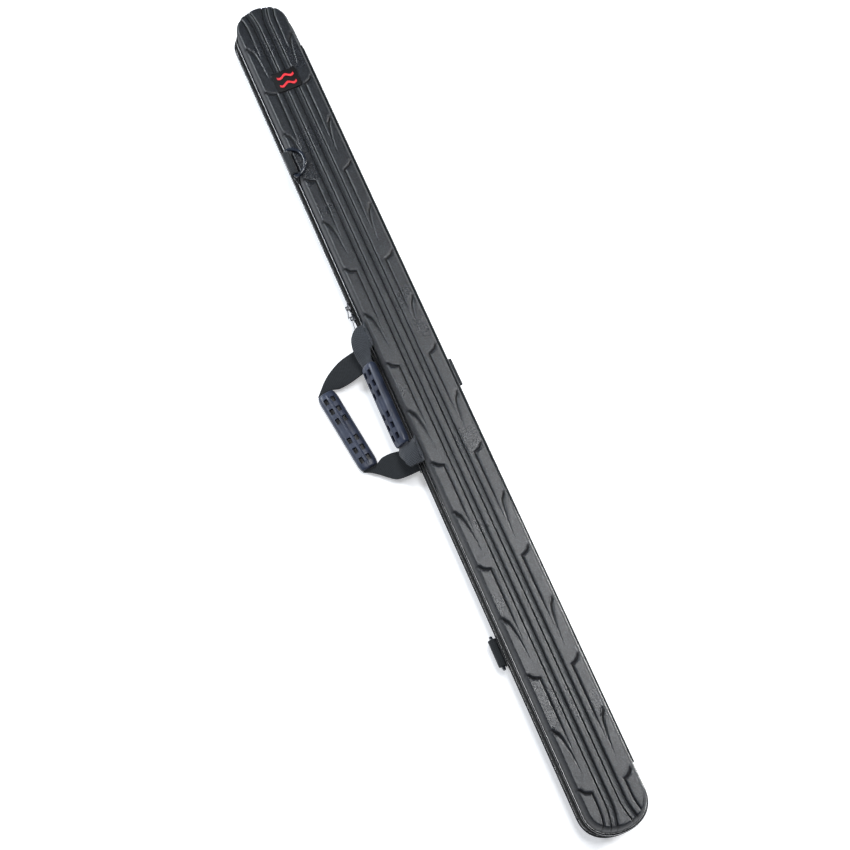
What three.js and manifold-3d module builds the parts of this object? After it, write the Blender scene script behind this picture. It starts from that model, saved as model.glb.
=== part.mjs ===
// Hard-shell fishing rod case: two thermoformed ABS half shells with a tyre-tread relief, zipped along the
// front and round both ends and hinged on a fabric band along the back, with a carry handle on each half.
// Millimetres. X runs along the case, -Y is the zip and handle side, +Z is up. The case lies on its base:
// the origin is the middle of the flat face under the base.
import * as THREE from 'three';
import { mergeVertices } from 'three/addons/utils/BufferGeometryUtils.js';
import Module from 'manifold-3d';

const wasm = await Module();
wasm.setup();

// Overall sizes
const CASE_LENGTH = 1250; // over the rim of the base
const CASE_WIDTH = 92.6; // over the rim of the base
const LID_SHORTER = 1.2; // the lid is this much shorter over its rim
const LID_NARROWER = 7.6; // and this much narrower
const LID_SHIFT = 1.6; // the lid sits this far towards the hinge side
const SHELL_DEPTH = 35; // each half shell, from its edge to its flat face
const ZIP_OPENING = 10; // between the edges of the two shells
const WALL = 3.2; // thickness of the moulded sheet
const GAP = 0.3; // running or seating clearance between two pieces
const END_DEPTH = 36; // how far the rounded ends reach
const END_POWER = 2.25; // 2 is an ellipse, more is squarer
const END_STEPS = 12;

// Flank of a shell: a little draft, then an elliptical edge up to the flat face
const DRAFT = 1.2;
const EDGE_ACROSS = 5;
const EDGE_UP = 13;

// Rim bead that covers the edge of each shell
const BEAD_THICK = 2.6;
const BEAD_HEIGHT = 5.6;
const BEAD_LIP = 0.6; // how far the bead reaches past the edge of the shell

// Zip: two tapes, two rows of teeth and two sliders
const TAPE_THICK = 1;
const TAPE_UP_WALL = 6;
const TEETH_HALF = 2.7; // height of one row of teeth
const TEETH_DEPTH = 3;
const TEETH_OUT_WIDTH = CASE_WIDTH - 2.8; // over the outer face of the teeth
const TEETH_LENGTH = CASE_LENGTH - 2;
const TEETH_SHIFT = 0.8; // the teeth sit between the two rims
const ZIP_BACK_END = CASE_LENGTH / 2 - 65; // the zip stops here on the back, at each end
const STOP_LENGTH = 7;

// Fabric hinge
const BAND_THICK = 1.2;
const BAND_UP = 9.8;
const BAND_SHORT = 7; // the band stops this far from the end of the zip

// Tread relief in the flat faces
const NOTCHES = 8;
const PITCH = (CASE_LENGTH / NOTCHES) * 0.9536;
const FIRST_NOTCH = -CASE_LENGTH * 0.3789;
const GROOVE_DEPTH = 1.8;
const GROOVE_WIDTH = 3.4;
const GROOVE_RISE = 0.8; // the cutter stands this far proud of the face
const INNER_GROOVE = 4.8; // the four long grooves, from the centre line
const OUTER_GROOVE = 12.3;
const SIDE_GROOVE = 21.4;
const NOTCH_OUT = CASE_WIDTH / 2 - 13.3; // where the notches cross onto the shoulder
const NOTCH_IN = CASE_WIDTH / 2 - 16.9;
const FAN_START = CASE_LENGTH / 2 - 40; // from here to the ends the long grooves spread
const FAN_SPREAD = 4.4;
const NOTCH_FADE = 92;

// Badge
const BADGE_X = FIRST_NOTCH - 15.4;
const BADGE_LENGTH = 32;
const BADGE_WIDTH = 35;
const BADGE_THICK = 2;
const BADGE_RECESS = 1.2;
const BADGE_MARGIN = 1.2;
const WAVE_THICK = 0.7;

// Webbing and the hardware on it
const WEBBING = 2;
const HANDLE_X = 5; // middle of the handles along the case
const GRIP_LENGTH = 122;
const GRIP_WIDTH = 26.4;
const GRIP_THICK = 15;
const GRIP_RIDGE = 0.8;
const SLOT_END = 13; // from the end of the grip to the middle of its last slot
const BASE_GRIP = [HANDLE_X, -CASE_WIDTH / 2 - 66.5, 9];
const BASE_GRIP_SKEW = 7.5; // degrees, the handle lies a little askew
const LID_GRIP = [HANDLE_X + 1, -CASE_WIDTH / 2 - 8.7, SHELL_DEPTH + ZIP_OPENING + 5.4];
const LID_GRIP_TILT = 55; // degrees, the lid's handle hangs down against its wall
const TONGUE_WIDTH = 18;
const MOUTH_WIDTH = 23; // the webbing just outside the grip
const TONGUE_DEPTH = 9; // how far the webbing reaches into the grip
const STRAP_WIDTH = 34;
const FOLD_RADIUS = 1.3; // rolled edge where the webbing leaves its riveted end
const anchorsOut = (left, right) => [HANDLE_X - GRIP_LENGTH / 2 - left, HANDLE_X + GRIP_LENGTH / 2 + right];
const BASE_ANCHORS = anchorsOut(22, 17); // the riveted ends, from the ends of the grip
const LID_ANCHORS = anchorsOut(35, 18);
const ANCHOR_NEAR = 8; // the riveted end, from the edge of its shell
const ANCHOR_FAR = 26;
const BASE_STRAP_DROP = 18; // where the webbing turns, from the parting plane
const LID_STRAP_RISE = 19.5;
const RIVET_HEAD = 3.8;
const RIVET_SHANK = 1.8;
const RIVET_SPACING = 18;
const RIVET_HEAD_HEIGHT = 1.4;
const RIVET_TAIL = 0.8;

// D-rings
const RING_X = CASE_LENGTH * 0.29; // each ring, from the middle of the case
const RING_WIDTH = 48;
const RING_REACH = 26;
const RING_BAR = 5;
const RING_THICK = 4.5;
const RING_TAB = 36.4;
const LOOP_RADIUS = 3.7; // inside the webbing loop
const LID_BAR = [3.8 - CASE_WIDTH / 2, 2 * SHELL_DEPTH + ZIP_OPENING + 1];
const LID_RING_TILT = 11.5;
const BASE_BAR = [-CASE_WIDTH / 2 - 4.7, SHELL_DEPTH - 9.4];
const TAB_ROOT = 10;
const REAR_TAB_X = -8.5;
const REAR_TAB_WIDTH = 41;
const REAR_TAB_OUT = 7.6;

// Inside
const LINING = 1.5;
const LINING_OFF = 2.3; // room between the wall and the lining for the tape and the rivets
const REST_XS = [-0.336, 0, 0.336].map((share) => CASE_LENGTH * share);
const REST_LENGTH = 36;
const REST_TOP = 27;
const NOTCH_RADIUS = 9;
const NOTCH_EDGE = 3.2; // foam left outside the outer notches
const PAD_BOTTOM = 50;
const RETAINER_XS = [-0.168, 0.168].map((share) => CASE_LENGTH * share);
const RETAINER_WIDTH = 25;
const RETAINER_Z = 37;
const RETAINER_THICK = 1.5;

// Values worked out from the above
const HEIGHT = 2 * SHELL_DEPTH + ZIP_OPENING;
const BASE_EDGE = SHELL_DEPTH;
const LID_EDGE = SHELL_DEPTH + ZIP_OPENING;
const PARTING = HEIGHT / 2;
const BASE = {
  length: CASE_LENGTH / 2 - BEAD_THICK,
  width: CASE_WIDTH / 2 - BEAD_THICK,
  shift: 0,
  z: (h) => BASE_EDGE - h,
};
const LID = {
  length: (CASE_LENGTH - LID_SHORTER) / 2 - BEAD_THICK,
  width: (CASE_WIDTH - LID_NARROWER) / 2 - BEAD_THICK,
  shift: LID_SHIFT,
  z: (h) => LID_EDGE + h,
};

const model = new THREE.Group();

// Colours and finishes
const finishes = {
  abs: { color: 0x24272b, roughness: 0.5, metalness: 0 },
  gloss: { color: 0x0c0d10, roughness: 0.15, metalness: 0 },
  webbing: { color: 0x1e2124, roughness: 0.9, metalness: 0 },
  greyWebbing: { color: 0x33363c, roughness: 0.9, metalness: 0 },
  tape: { color: 0x141517, roughness: 0.9, metalness: 0 },
  teeth: { color: 0x1a1b1e, roughness: 0.45, metalness: 0 },
  slider: { color: 0x3a3c40, roughness: 0.35, metalness: 0.9 },
  rivet: { color: 0x6a6c70, roughness: 0.35, metalness: 0.9 },
  grip: { color: 0x23273a, roughness: 0.45, metalness: 0 },
  ring: { color: 0x15181f, roughness: 0.25, metalness: 0 },
  badge: { color: 0x0a0a0b, roughness: 0.7, metalness: 0 },
  red: { color: 0xf03038, roughness: 0.6, metalness: 0 },
  lining: { color: 0x2c2e33, roughness: 0.95, metalness: 0 },
  foam: { color: 0x3c3f45, roughness: 1, metalness: 0 },
};

function addPiece(name, finish, geometry) {
  const mesh = new THREE.Mesh(geometry, new THREE.MeshStandardMaterial(finishes[finish]));
  mesh.name = name;
  model.add(mesh);
  return mesh;
}

const radians = (degrees) => (degrees * Math.PI) / 180;

// Solids from vertices and triangles, turned so that their faces point out
function signedVolume(vertices, triangles) {
  let volume = 0;
  for (const [i, j, k] of triangles) {
    const [a, b, c] = [vertices[i], vertices[j], vertices[k]];
    volume +=
      a[0] * (b[1] * c[2] - b[2] * c[1]) +
      a[1] * (b[2] * c[0] - b[0] * c[2]) +
      a[2] * (b[0] * c[1] - b[1] * c[0]);
  }
  return volume / 6;
}

function solid(vertices, triangles) {
  const outward = signedVolume(vertices, triangles) > 0;
  const geometry = new THREE.BufferGeometry();
  geometry.setAttribute('position', new THREE.Float32BufferAttribute(vertices.flat(), 3));
  geometry.setIndex(triangles.flatMap(([i, j, k]) => (outward ? [i, j, k] : [i, k, j])));
  return geometry;
}

// Booleans
function toManifold(geometry) {
  const bare = geometry.clone();
  bare.deleteAttribute('normal');
  bare.deleteAttribute('uv');
  const merged = mergeVertices(bare, 1e-4);
  return new wasm.Manifold(
    new wasm.Mesh({
      numProp: 3,
      vertProperties: new Float32Array(merged.attributes.position.array),
      triVerts: new Uint32Array(merged.index.array),
    }),
  );
}

function fromManifold(manifold) {
  const mesh = manifold.getMesh();
  const geometry = new THREE.BufferGeometry();
  geometry.setAttribute('position', new THREE.BufferAttribute(new Float32Array(mesh.vertProperties), 3));
  geometry.setIndex(new THREE.BufferAttribute(new Uint32Array(mesh.triVerts), 1));
  return geometry;
}

function cut(geometry, cutters) {
  let result = toManifold(geometry);
  for (const cutter of cutters) result = result.subtract(toManifold(cutter));
  return fromManifold(result);
}

function join(first, ...others) {
  let result = toManifold(first);
  for (const other of others) result = result.add(toManifold(other));
  return fromManifold(result);
}

// Plan outline of the case, from the back corner at +X round by the front to the back corner at -X
function outline(ring) {
  const points = [];
  const straight = ring.length - ring.end;
  for (const side of [1, -1]) {
    for (let i = 0; i <= END_STEPS; i += 1) {
      const turn = radians(90 - (180 * i) / END_STEPS) * side;
      const across = Math.sign(Math.sin(turn)) * Math.abs(Math.sin(turn)) ** (2 / END_POWER);
      const along = Math.abs(Math.cos(turn)) ** (2 / END_POWER);
      points.push([side * (straight + ring.end * along), ring.shift + ring.width * across]);
    }
  }
  return points;
}

// A ring of the outline, inset from the edge of a shell
function inset(shell, amount, z) {
  return {
    length: shell.length - amount,
    width: shell.width - amount,
    end: END_DEPTH - amount,
    shift: shell.shift,
    z,
  };
}

function stackSolid(rings) {
  const vertices = rings.flatMap((ring) => outline(ring).map(([x, y]) => [x, y, ring.z]));
  const count = vertices.length / rings.length;
  const triangles = [];
  for (let level = 0; level + 1 < rings.length; level += 1) {
    for (let i = 0; i < count; i += 1) {
      const a = level * count + i;
      const b = level * count + ((i + 1) % count);
      triangles.push([a, b, b + count], [a, b + count, a + count]);
    }
  }
  const flat = vertices.slice(0, count).map(([x, y]) => new THREE.Vector2(x, y));
  const top = (rings.length - 1) * count;
  for (const [i, j, k] of THREE.ShapeUtils.triangulateShape(flat, [])) {
    triangles.push([k, j, i], [top + i, top + j, top + k]);
  }
  const sideTurn = rings[1].z > rings[0].z ? 1 : -1;
  const capTurn = THREE.ShapeUtils.area(flat) > 0 ? 1 : -1;
  const sides = 2 * count * (rings.length - 1);
  const fixed = triangles.map((t, index) => {
    const wrong = index < sides ? capTurn * sideTurn < 0 : sideTurn * capTurn * capTurn < 0;
    return wrong ? [t[0], t[2], t[1]] : t;
  });
  return solid(vertices, fixed);
}

// A bar of any section that follows the outline, closed all round or open along the back
function ringSolid(section, closed, backEnd) {
  const columns = section.map((ring) => {
    const points = outline(ring);
    if (!closed) {
      points.unshift([backEnd, ring.shift + ring.width]);
      points.push([-backEnd, ring.shift + ring.width]);
    }
    return points.map(([x, y]) => [x, y, ring.z]);
  });
  return loftSolid(
    columns[0].map((_, i) => columns.map((column) => column[i])),
    closed,
  );
}

// Joins like sections, given as lists of corners, into one solid
function loftSolid(sections, closed = false) {
  const sides = sections[0].length;
  const vertices = sections.flat();
  const triangles = [];
  const spans = closed ? sections.length : sections.length - 1;
  for (let i = 0; i < spans; i += 1) {
    const next = (i + 1) % sections.length;
    for (let j = 0; j < sides; j += 1) {
      const k = (j + 1) % sides;
      const [a, b] = [i * sides + j, i * sides + k];
      const [c, d] = [next * sides + k, next * sides + j];
      triangles.push([a, b, c], [a, c, d]);
    }
  }
  if (!closed) {
    const last = (sections.length - 1) * sides;
    for (const [i, j, k] of capTriangles(sections[0])) triangles.push([i, k, j]);
    for (const [i, j, k] of capTriangles(sections[sections.length - 1])) {
      triangles.push([last + i, last + j, last + k]);
    }
  }
  return solid(vertices, triangles);
}

// Triangles of a flat polygon in space, in the order of its corners
function capTriangles(corners) {
  const [origin] = corners;
  const normal = new THREE.Vector3();
  for (let i = 0; i < corners.length; i += 1) {
    const [a, b] = [corners[i], corners[(i + 1) % corners.length]].map((c) => new THREE.Vector3(...c));
    normal.add(a.clone().sub(new THREE.Vector3(...origin)).cross(b.clone().sub(new THREE.Vector3(...origin))));
  }
  normal.normalize();
  const u = new THREE.Vector3(...corners[1]).sub(new THREE.Vector3(...origin)).normalize();
  const v = normal.clone().cross(u);
  const flat = corners.map((c) => {
    const p = new THREE.Vector3(...c).sub(new THREE.Vector3(...origin));
    return new THREE.Vector2(p.dot(u), p.dot(v));
  });
  return THREE.ShapeUtils.triangulateShape(flat, []);
}

// A flat shape from its corners, with an optional hole, whichever way round they are drawn
function flatShape(corners, hole) {
  const outer = corners.map(([u, v]) => new THREE.Vector2(u, v));
  if (THREE.ShapeUtils.area(outer) < 0) outer.reverse();
  const shape = new THREE.Shape(outer);
  if (hole) {
    const inner = hole.map(([u, v]) => new THREE.Vector2(u, v));
    if (THREE.ShapeUtils.area(inner) > 0) inner.reverse();
    shape.holes.push(new THREE.Path(inner));
  }
  return shape;
}

// A flat shape in the YZ plane, drawn as [y, z] corners, made w long in X round the middle x
function slab(corners, x, w, hole) {
  const geometry = new THREE.ExtrudeGeometry(flatShape(corners, hole), { depth: w, bevelEnabled: false });
  geometry.rotateX(Math.PI / 2);
  geometry.rotateZ(Math.PI / 2);
  geometry.translate(x - w / 2, 0, 0);
  return geometry;
}

function box(x0, x1, y0, y1, z0, z1) {
  const geometry = new THREE.BoxGeometry(x1 - x0, y1 - y0, z1 - z0);
  geometry.translate((x0 + x1) / 2, (y0 + y1) / 2, (z0 + z1) / 2);
  return geometry;
}

// Flank of a shell at an angle of its edge: 0 where the edge starts to turn in, 90 on the flat face
function edgeInset(angle) {
  return DRAFT + EDGE_ACROSS * (1 - Math.cos(radians(angle)));
}

function edgeHeight(angle, thinner = 0) {
  return SHELL_DEPTH - EDGE_UP + (EDGE_UP - thinner) * Math.sin(radians(angle));
}

function shellRings(shell, offset, thinner, angles, low = 0) {
  return [
    inset(shell, offset, low),
    ...angles.map((angle) => inset(shell, offset + edgeInset(angle), edgeHeight(angle, thinner))),
  ];
}

// Tread cutters, in the shell's own frame: x, y from the centre line, height above the edge of the shell
function grooveCutter(stations) {
  const sections = stations.map((station, i) => {
    const before = stations[Math.max(i - 1, 0)].at;
    const after = stations[Math.min(i + 1, stations.length - 1)].at;
    const along = new THREE.Vector3(...after).sub(new THREE.Vector3(...before)).normalize();
    const normal = new THREE.Vector3(...station.normal).normalize();
    const side = along.clone().cross(normal).normalize();
    const centre = new THREE.Vector3(...station.at);
    const half = (station.width / 2) * (1 + GROOVE_RISE / station.depth);
    const proud = centre.clone().addScaledVector(normal, GROOVE_RISE);
    return [
      proud.clone().addScaledVector(side, half).toArray(),
      centre.clone().addScaledVector(normal, -station.depth).toArray(),
      proud.clone().addScaledVector(side, -half).toArray(),
    ];
  });
  return loftSolid(sections);
}

function onFace(x, y, share = 1) {
  return {
    at: [x, y, SHELL_DEPTH],
    normal: [0, 0, 1],
    width: GROOVE_WIDTH * share,
    depth: GROOVE_DEPTH * share,
  };
}

function edgeNormal(angle) {
  return [Math.cos(radians(angle)) / EDGE_ACROSS, Math.sin(radians(angle)) / EDGE_UP];
}

function onFlank(shell, x, side, angle, share = 1) {
  const [out, up] = edgeNormal(angle);
  return {
    at: [x, side * (shell.width - edgeInset(angle)), edgeHeight(angle)],
    normal: [0, side * out, up],
    width: GROOVE_WIDTH * share,
    depth: GROOVE_DEPTH * share,
  };
}

function onEnd(shell, end, y, angle) {
  const ring = inset(shell, edgeInset(angle), edgeHeight(angle));
  const reach = (1 - (Math.abs(y) / ring.width) ** END_POWER) ** (1 / END_POWER);
  const [out, up] = edgeNormal(angle);
  return {
    at: [end * (ring.length - ring.end + ring.end * reach), y, ring.z],
    normal: [end * out, 0, up],
    width: GROOVE_WIDTH,
    depth: GROOVE_DEPTH,
  };
}

function fanned(shell, x, y) {
  const faceEnd = shell.length - edgeInset(90);
  const share = Math.max(0, (Math.abs(x) - FAN_START) / (faceEnd - FAN_START));
  return y + Math.sign(y) * FAN_SPREAD * Math.min(share, 1) ** 2;
}

// Where the flat face ends at a distance from the centre line
function faceReach(shell, y) {
  return Math.abs(onEnd(shell, 1, y, 90).at[0]);
}

// The last stretch of a long groove: it spreads on the flat face and runs down over the end
function grooveEnd(shell, end, y, inwards) {
  const endY = fanned(shell, shell.length, y);
  const reach = faceReach(shell, endY);
  const stations = [0, 0.5, 1].map((share) => {
    const x = FAN_START + (reach - GROOVE_WIDTH / 2 - FAN_START) * share;
    return onFace(end * x, fanned(shell, x, y));
  });
  stations.push(...[75, 50, 25, 5].map((angle) => onEnd(shell, end, endY, angle)));
  return inwards ? stations.reverse() : stations;
}

function treadCutters(shell) {
  const cutters = [];
  for (const side of [-1, 1]) {
    for (const y of [INNER_GROOVE, OUTER_GROOVE]) {
      cutters.push(
        grooveCutter([...grooveEnd(shell, -1, side * y, true), ...grooveEnd(shell, 1, side * y, false)]),
      );
    }
    const groove = side * SIDE_GROOVE;
    for (let i = 0; i < NOTCHES; i += 1) {
      const x = FIRST_NOTCH + i * PITCH;
      const tail =
        i === NOTCHES - 1
          ? grooveEnd(shell, 1, groove, false).slice(0, 4)
          : [onFace(x + 55, groove), onFace(x + NOTCH_FADE, groove, 0.2)];
      cutters.push(
        grooveCutter([
          onFlank(shell, x - 9.6, side, 20),
          onFlank(shell, x - 8.8, side, 55),
          onFlank(shell, x - 8.2, side, 85),
          onFace(x - 7.6, side * NOTCH_OUT),
          onFace(x - 3, side * NOTCH_IN),
          onFace(x, groove),
          ...tail,
        ]),
      );
    }
    const lane = (share) => side * (SIDE_GROOVE + (NOTCH_OUT - SIDE_GROOVE) * share);
    const start = FIRST_NOTCH - PITCH;
    cutters.push(
      grooveCutter([...grooveEnd(shell, -1, groove, true).slice(2), onFace(start + NOTCH_FADE, groove, 0.2)]),
    );
    for (let i = -1; i < NOTCHES - 1; i += 1) {
      const x = FIRST_NOTCH + i * PITCH + 63;
      cutters.push(
        grooveCutter([
          onFlank(shell, x - 0.5, side, 40, 1.1),
          onFlank(shell, x + 0.6, side, 62, 1.1),
          onFlank(shell, x + 1.7, side, 85, 1.1),
          onFace(x + 3, lane(1), 1.2),
          onFace(x + 8, lane(0.655), 1.1),
          onFace(x + 14, lane(0.5), 0.9),
          onFace(x + 33, lane(0.26), 0.6),
          onFace(x + 58, lane(0.1), 0.15),
        ]),
      );
    }
  }
  return cutters;
}

// The shells, linings and cutters are made round their own centre line and then put in place
const centred = (shell) => ({ ...shell, shift: 0 });

function shellGeometry(shell) {
  const own = centred(shell);
  const outer = stackSolid(shellRings(own, 0, 0, [0, 22, 45, 68, 90]));
  const inner = stackSolid(shellRings(own, WALL, WALL, [0, 35, 65, 90], -1));
  return placeShell(shell, cut(outer, [inner, ...treadCutters(own)]));
}

function placeShell(shell, geometry) {
  if (shell === BASE) {
    geometry.scale(1, 1, -1);
    const turned = geometry.index.array;
    for (let i = 0; i < turned.length; i += 3) [turned[i], turned[i + 1]] = [turned[i + 1], turned[i]];
  }
  geometry.translate(0, shell.shift, shell.z(0));
  return geometry;
}

// Where the wall of a shell is at a height in the world, on the front side
function wallOut(shell, z) {
  const h = shell === BASE ? BASE_EDGE - z : z - LID_EDGE;
  const straight = SHELL_DEPTH - EDGE_UP;
  if (h <= straight) return shell.width - (DRAFT * Math.max(h, 0)) / straight;
  const angle = Math.asin(Math.min(1, (h - straight) / EDGE_UP));
  return shell.width - DRAFT - EDGE_ACROSS * (1 - Math.cos(angle));
}

function frontY(shell, z, off = 0) {
  return shell.shift - wallOut(shell, z) - off;
}

// Riveted webbing ends on the front wall, with their rivets
function anchorHeights(shell) {
  return [shell.z(ANCHOR_NEAR), shell.z(ANCHOR_FAR)].sort((a, b) => a - b);
}

function rivetZ(shell) {
  const [low, high] = anchorHeights(shell);
  return shell === BASE ? low + 5 : high - 5;
}

const rivetHoles = { base: [], lid: [] };

function rivetGeometry(shell, x, z, stack) {
  const face = -frontY(shell, z, stack + GAP);
  const tailStart = -frontY(shell, z) - WALL - DRAFT / 3 - GAP;
  const profile = [
    [0, tailStart - RIVET_TAIL],
    [RIVET_HEAD - 0.6, tailStart - RIVET_TAIL],
    [RIVET_HEAD - 0.6, tailStart],
    [RIVET_SHANK, tailStart],
    [RIVET_SHANK, face + GAP],
    [RIVET_HEAD, face + GAP],
    [RIVET_HEAD * 0.8, face + GAP + RIVET_HEAD_HEIGHT * 0.7],
    [0, face + GAP + RIVET_HEAD_HEIGHT],
  ];
  const geometry = new THREE.LatheGeometry(
    profile.map(([r, y]) => new THREE.Vector2(r, y)),
    8,
  );
  geometry.rotateZ(Math.PI);
  geometry.translate(x, 0, z);
  return geometry;
}

function rivetHole(shell, x, z) {
  const geometry = new THREE.CylinderGeometry(RIVET_SHANK + GAP, RIVET_SHANK + GAP, 16, 8);
  geometry.translate(x, frontY(shell, z), z);
  return geometry;
}

function addRivets(shell, label, x, z, offsets, stack) {
  const holes = offsets.map((offset, i) => {
    addPiece(`${label}_rivet_${i + 1}`, 'rivet', rivetGeometry(shell, x + offset, z, stack));
    return rivetHole(shell, x + offset, z);
  });
  rivetHoles[shell === BASE ? 'base' : 'lid'].push(...holes);
  return holes;
}

function addAnchor(shell, label, x) {
  const [low, high] = anchorHeights(shell);
  const z = rivetZ(shell);
  const heights = shell === BASE ? [low, low + 7, high - 5, high] : [low, low + 5, high - 7, high];
  const inner = heights.map((height) => [frontY(shell, height, GAP), height]);
  const outer = heights.map((height) => [frontY(shell, height, GAP + WEBBING), height]).reverse();
  const half = RIVET_SPACING / 2;
  const holes = addRivets(shell, label, x, z, [-half, half], WEBBING + GAP);
  addPiece(label, 'webbing', cut(slab([...inner, ...outer], x, STRAP_WIDTH), holes));
}

// A strap between two edges, each a list of [x, y, z] at the middle of its thickness
function strapSolid(outer, inner) {
  const out = outer.map((corner) => new THREE.Vector3(...corner));
  const inn = inner.map((corner) => new THREE.Vector3(...corner));
  const middle = out.map((corner, i) => corner.clone().add(inn[i]).multiplyScalar(0.5));
  const last = middle.length - 1;
  return loftSolid(
    middle.map((point, i) => {
      const along = middle[Math.min(i + 1, last)].clone().sub(middle[Math.max(i - 1, 0)]);
      const normal = along.cross(out[i].clone().sub(inn[i])).normalize();
      normal.multiplyScalar((Math.sign(normal.z) * WEBBING) / 2);
      return [
        out[i].clone().add(normal),
        out[i].clone().sub(normal),
        inn[i].clone().sub(normal),
        inn[i].clone().add(normal),
      ].map((corner) => corner.toArray());
    }),
  );
}

function foldBar(x, y, z, w) {
  const geometry = new THREE.CylinderGeometry(FOLD_RADIUS, FOLD_RADIUS, w, 8);
  geometry.rotateZ(Math.PI / 2);
  geometry.translate(x, y, z);
  return geometry;
}

// Where the webbing of a handle turns: just outside its riveted end
const PIVOT_OFF = WEBBING + 2 * GAP + FOLD_RADIUS + 0.1;
const BASE_STRAP_Z = PARTING - BASE_STRAP_DROP;
const LID_STRAP_Z = PARTING + LID_STRAP_RISE;
const BASE_PIVOT = [frontY(BASE, BASE_STRAP_Z, PIVOT_OFF), BASE_STRAP_Z];
const LID_PIVOT = [frontY(LID, LID_STRAP_Z, PIVOT_OFF), LID_STRAP_Z];

// Grips
function gripGeometry() {
  const half = GRIP_LENGTH / 2;
  const stations = [
    [-half, 0.76, 0.72],
    [-half + 3, 0.9, 0.88],
    [-half + 11, 1, 1],
    [0, 1, 1.03],
    [half - 11, 1, 1],
    [half - 3, 0.9, 0.88],
    [half, 0.76, 0.72],
  ];
  const sides = 14;
  const body = loftSolid(
    stations.map(([x, wide, thick]) => {
      const corners = [];
      for (let i = 0; i < sides; i += 1) {
        const turn = (2 * Math.PI * i) / sides;
        const power = (v) => Math.sign(v) * Math.abs(v) ** 0.75;
        const y = (GRIP_WIDTH / 2) * wide * power(Math.sin(turn));
        const z = (GRIP_THICK / 2) * thick * power(Math.cos(turn));
        corners.push([x, y, z + (i === 0 ? GRIP_RIDGE : 0)]);
      }
      return corners;
    }),
  );
  const top = GRIP_THICK / 2;
  const slots = [];
  const slotPitch = (half - SLOT_END) / 3;
  for (const x of [-3, -2, -1, 1, 2, 3].map((step) => step * slotPitch)) {
    for (const y of [-5.4, 5.4]) slots.push(box(x - 4.2, x + 4.2, y - 2.6, y + 2.6, top - 2.8, top + 4));
  }
  const mouth = (TONGUE_WIDTH + 2 * GAP) / 2;
  const slit = WEBBING / 2 + GAP;
  for (const side of [-1, 1]) {
    const [x0, x1] = [side * (half - TONGUE_DEPTH - 1), side * (half + 1)].sort((a, b) => a - b);
    slots.push(box(x0, x1, -mouth, mouth, -slit, slit));
  }
  return cut(body, slots);
}

function place(geometry, [x, y, z], skew = 0) {
  geometry.rotateZ(radians(skew));
  geometry.translate(x, y, z);
  return geometry;
}

// A strap that leaves the wall along -Y and turns into the mouth of a grip. The shares run from the wall (0)
// to the mouth (1): how far each edge has come towards its corner of the mouth, across and along. The inner
// edge also bows towards the middle of the handle.
const TURNS = {
  left: [
    { out: [0, 0], inn: [0, 0], bow: 0, drop: 0 },
    { out: [0.06, 0.22], inn: [0.5, 0.29], bow: 2.2, drop: 0.12 },
    { out: [0.14, 0.445], inn: [0.85, 0.56], bow: 4.2, drop: 0.4 },
    { out: [0.31, 0.635], inn: [1, 0.76], bow: 4.4, drop: 0.68 },
    { out: [0.53, 0.79], inn: [1, 0.88], bow: 3.4, drop: 0.88 },
    { out: [0.79, 0.91], inn: [1, 0.955], bow: 0.6, drop: 0.98 },
    { out: [1, 1], inn: [1, 1], bow: 0, drop: 1 },
  ],
  right: [
    { out: [0, 0], inn: [0, 0], bow: 0, drop: 0 },
    { out: [0, 0.24], inn: [0.5, 0.29], bow: 2.2, drop: 0.12 },
    { out: [0.08, 0.45], inn: [0.85, 0.56], bow: 4.8, drop: 0.4 },
    { out: [0.33, 0.59], inn: [1, 0.76], bow: 5.4, drop: 0.68 },
    { out: [0.61, 0.72], inn: [1, 0.88], bow: 4.2, drop: 0.88 },
    { out: [0.86, 0.865], inn: [1, 0.955], bow: 0.7, drop: 0.98 },
    { out: [1, 1], inn: [1, 1], bow: 0, drop: 1 },
  ],
};

function turningStrap(name, x, [pivotY, pivotZ], side, mouth, across) {
  const half = STRAP_WIDTH / 2;
  const edge = (from, reach, key) => {
    const corner = mouth.clone().addScaledVector(across, reach);
    return TURNS[name].map((step) => {
      const [u, v] = step[key];
      const bow = key === 'inn' ? side * step.bow : 0;
      return [
        from + (corner.x - from) * u - bow,
        pivotY + (corner.y - pivotY) * v,
        pivotZ + (corner.z - pivotZ) * step.drop,
      ];
    });
  };
  const outer = edge(x + side * half, -MOUTH_WIDTH / 2, 'out');
  const inner = edge(x - side * half, MOUTH_WIDTH / 2, 'inn');
  return strapSolid(outer, inner);
}

function addBaseHandle() {
  addPiece('base_grip', 'grip', place(gripGeometry(), BASE_GRIP, BASE_GRIP_SKEW));
  const axis = new THREE.Vector3(1, 0, 0).applyAxisAngle(new THREE.Vector3(0, 0, 1), radians(BASE_GRIP_SKEW));
  const across = new THREE.Vector3(-axis.y, axis.x, 0);
  BASE_ANCHORS.forEach((x, i) => {
    const name = ['left', 'right'][i];
    const side = i === 0 ? -1 : 1;
    const along = (reach) => new THREE.Vector3(...BASE_GRIP).addScaledVector(axis, side * reach);
    const mouth = along(GRIP_LENGTH / 2 + 1);
    const tongue = place(
      box(-TONGUE_DEPTH / 2, TONGUE_DEPTH / 2, -TONGUE_WIDTH / 2, TONGUE_WIDTH / 2, -WEBBING / 2, WEBBING / 2),
      along((GRIP_LENGTH - TONGUE_DEPTH) / 2 + 2).toArray(),
      BASE_GRIP_SKEW,
    );
    const strap = turningStrap(name, x, BASE_PIVOT, side, mouth, across);
    const fold = foldBar(x, ...BASE_PIVOT, STRAP_WIDTH);
    addPiece(`base_handle_strap_${name}`, 'webbing', join(strap, tongue, fold));
    addAnchor(BASE, `base_handle_anchor_${name}`, x);
  });
}

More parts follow.
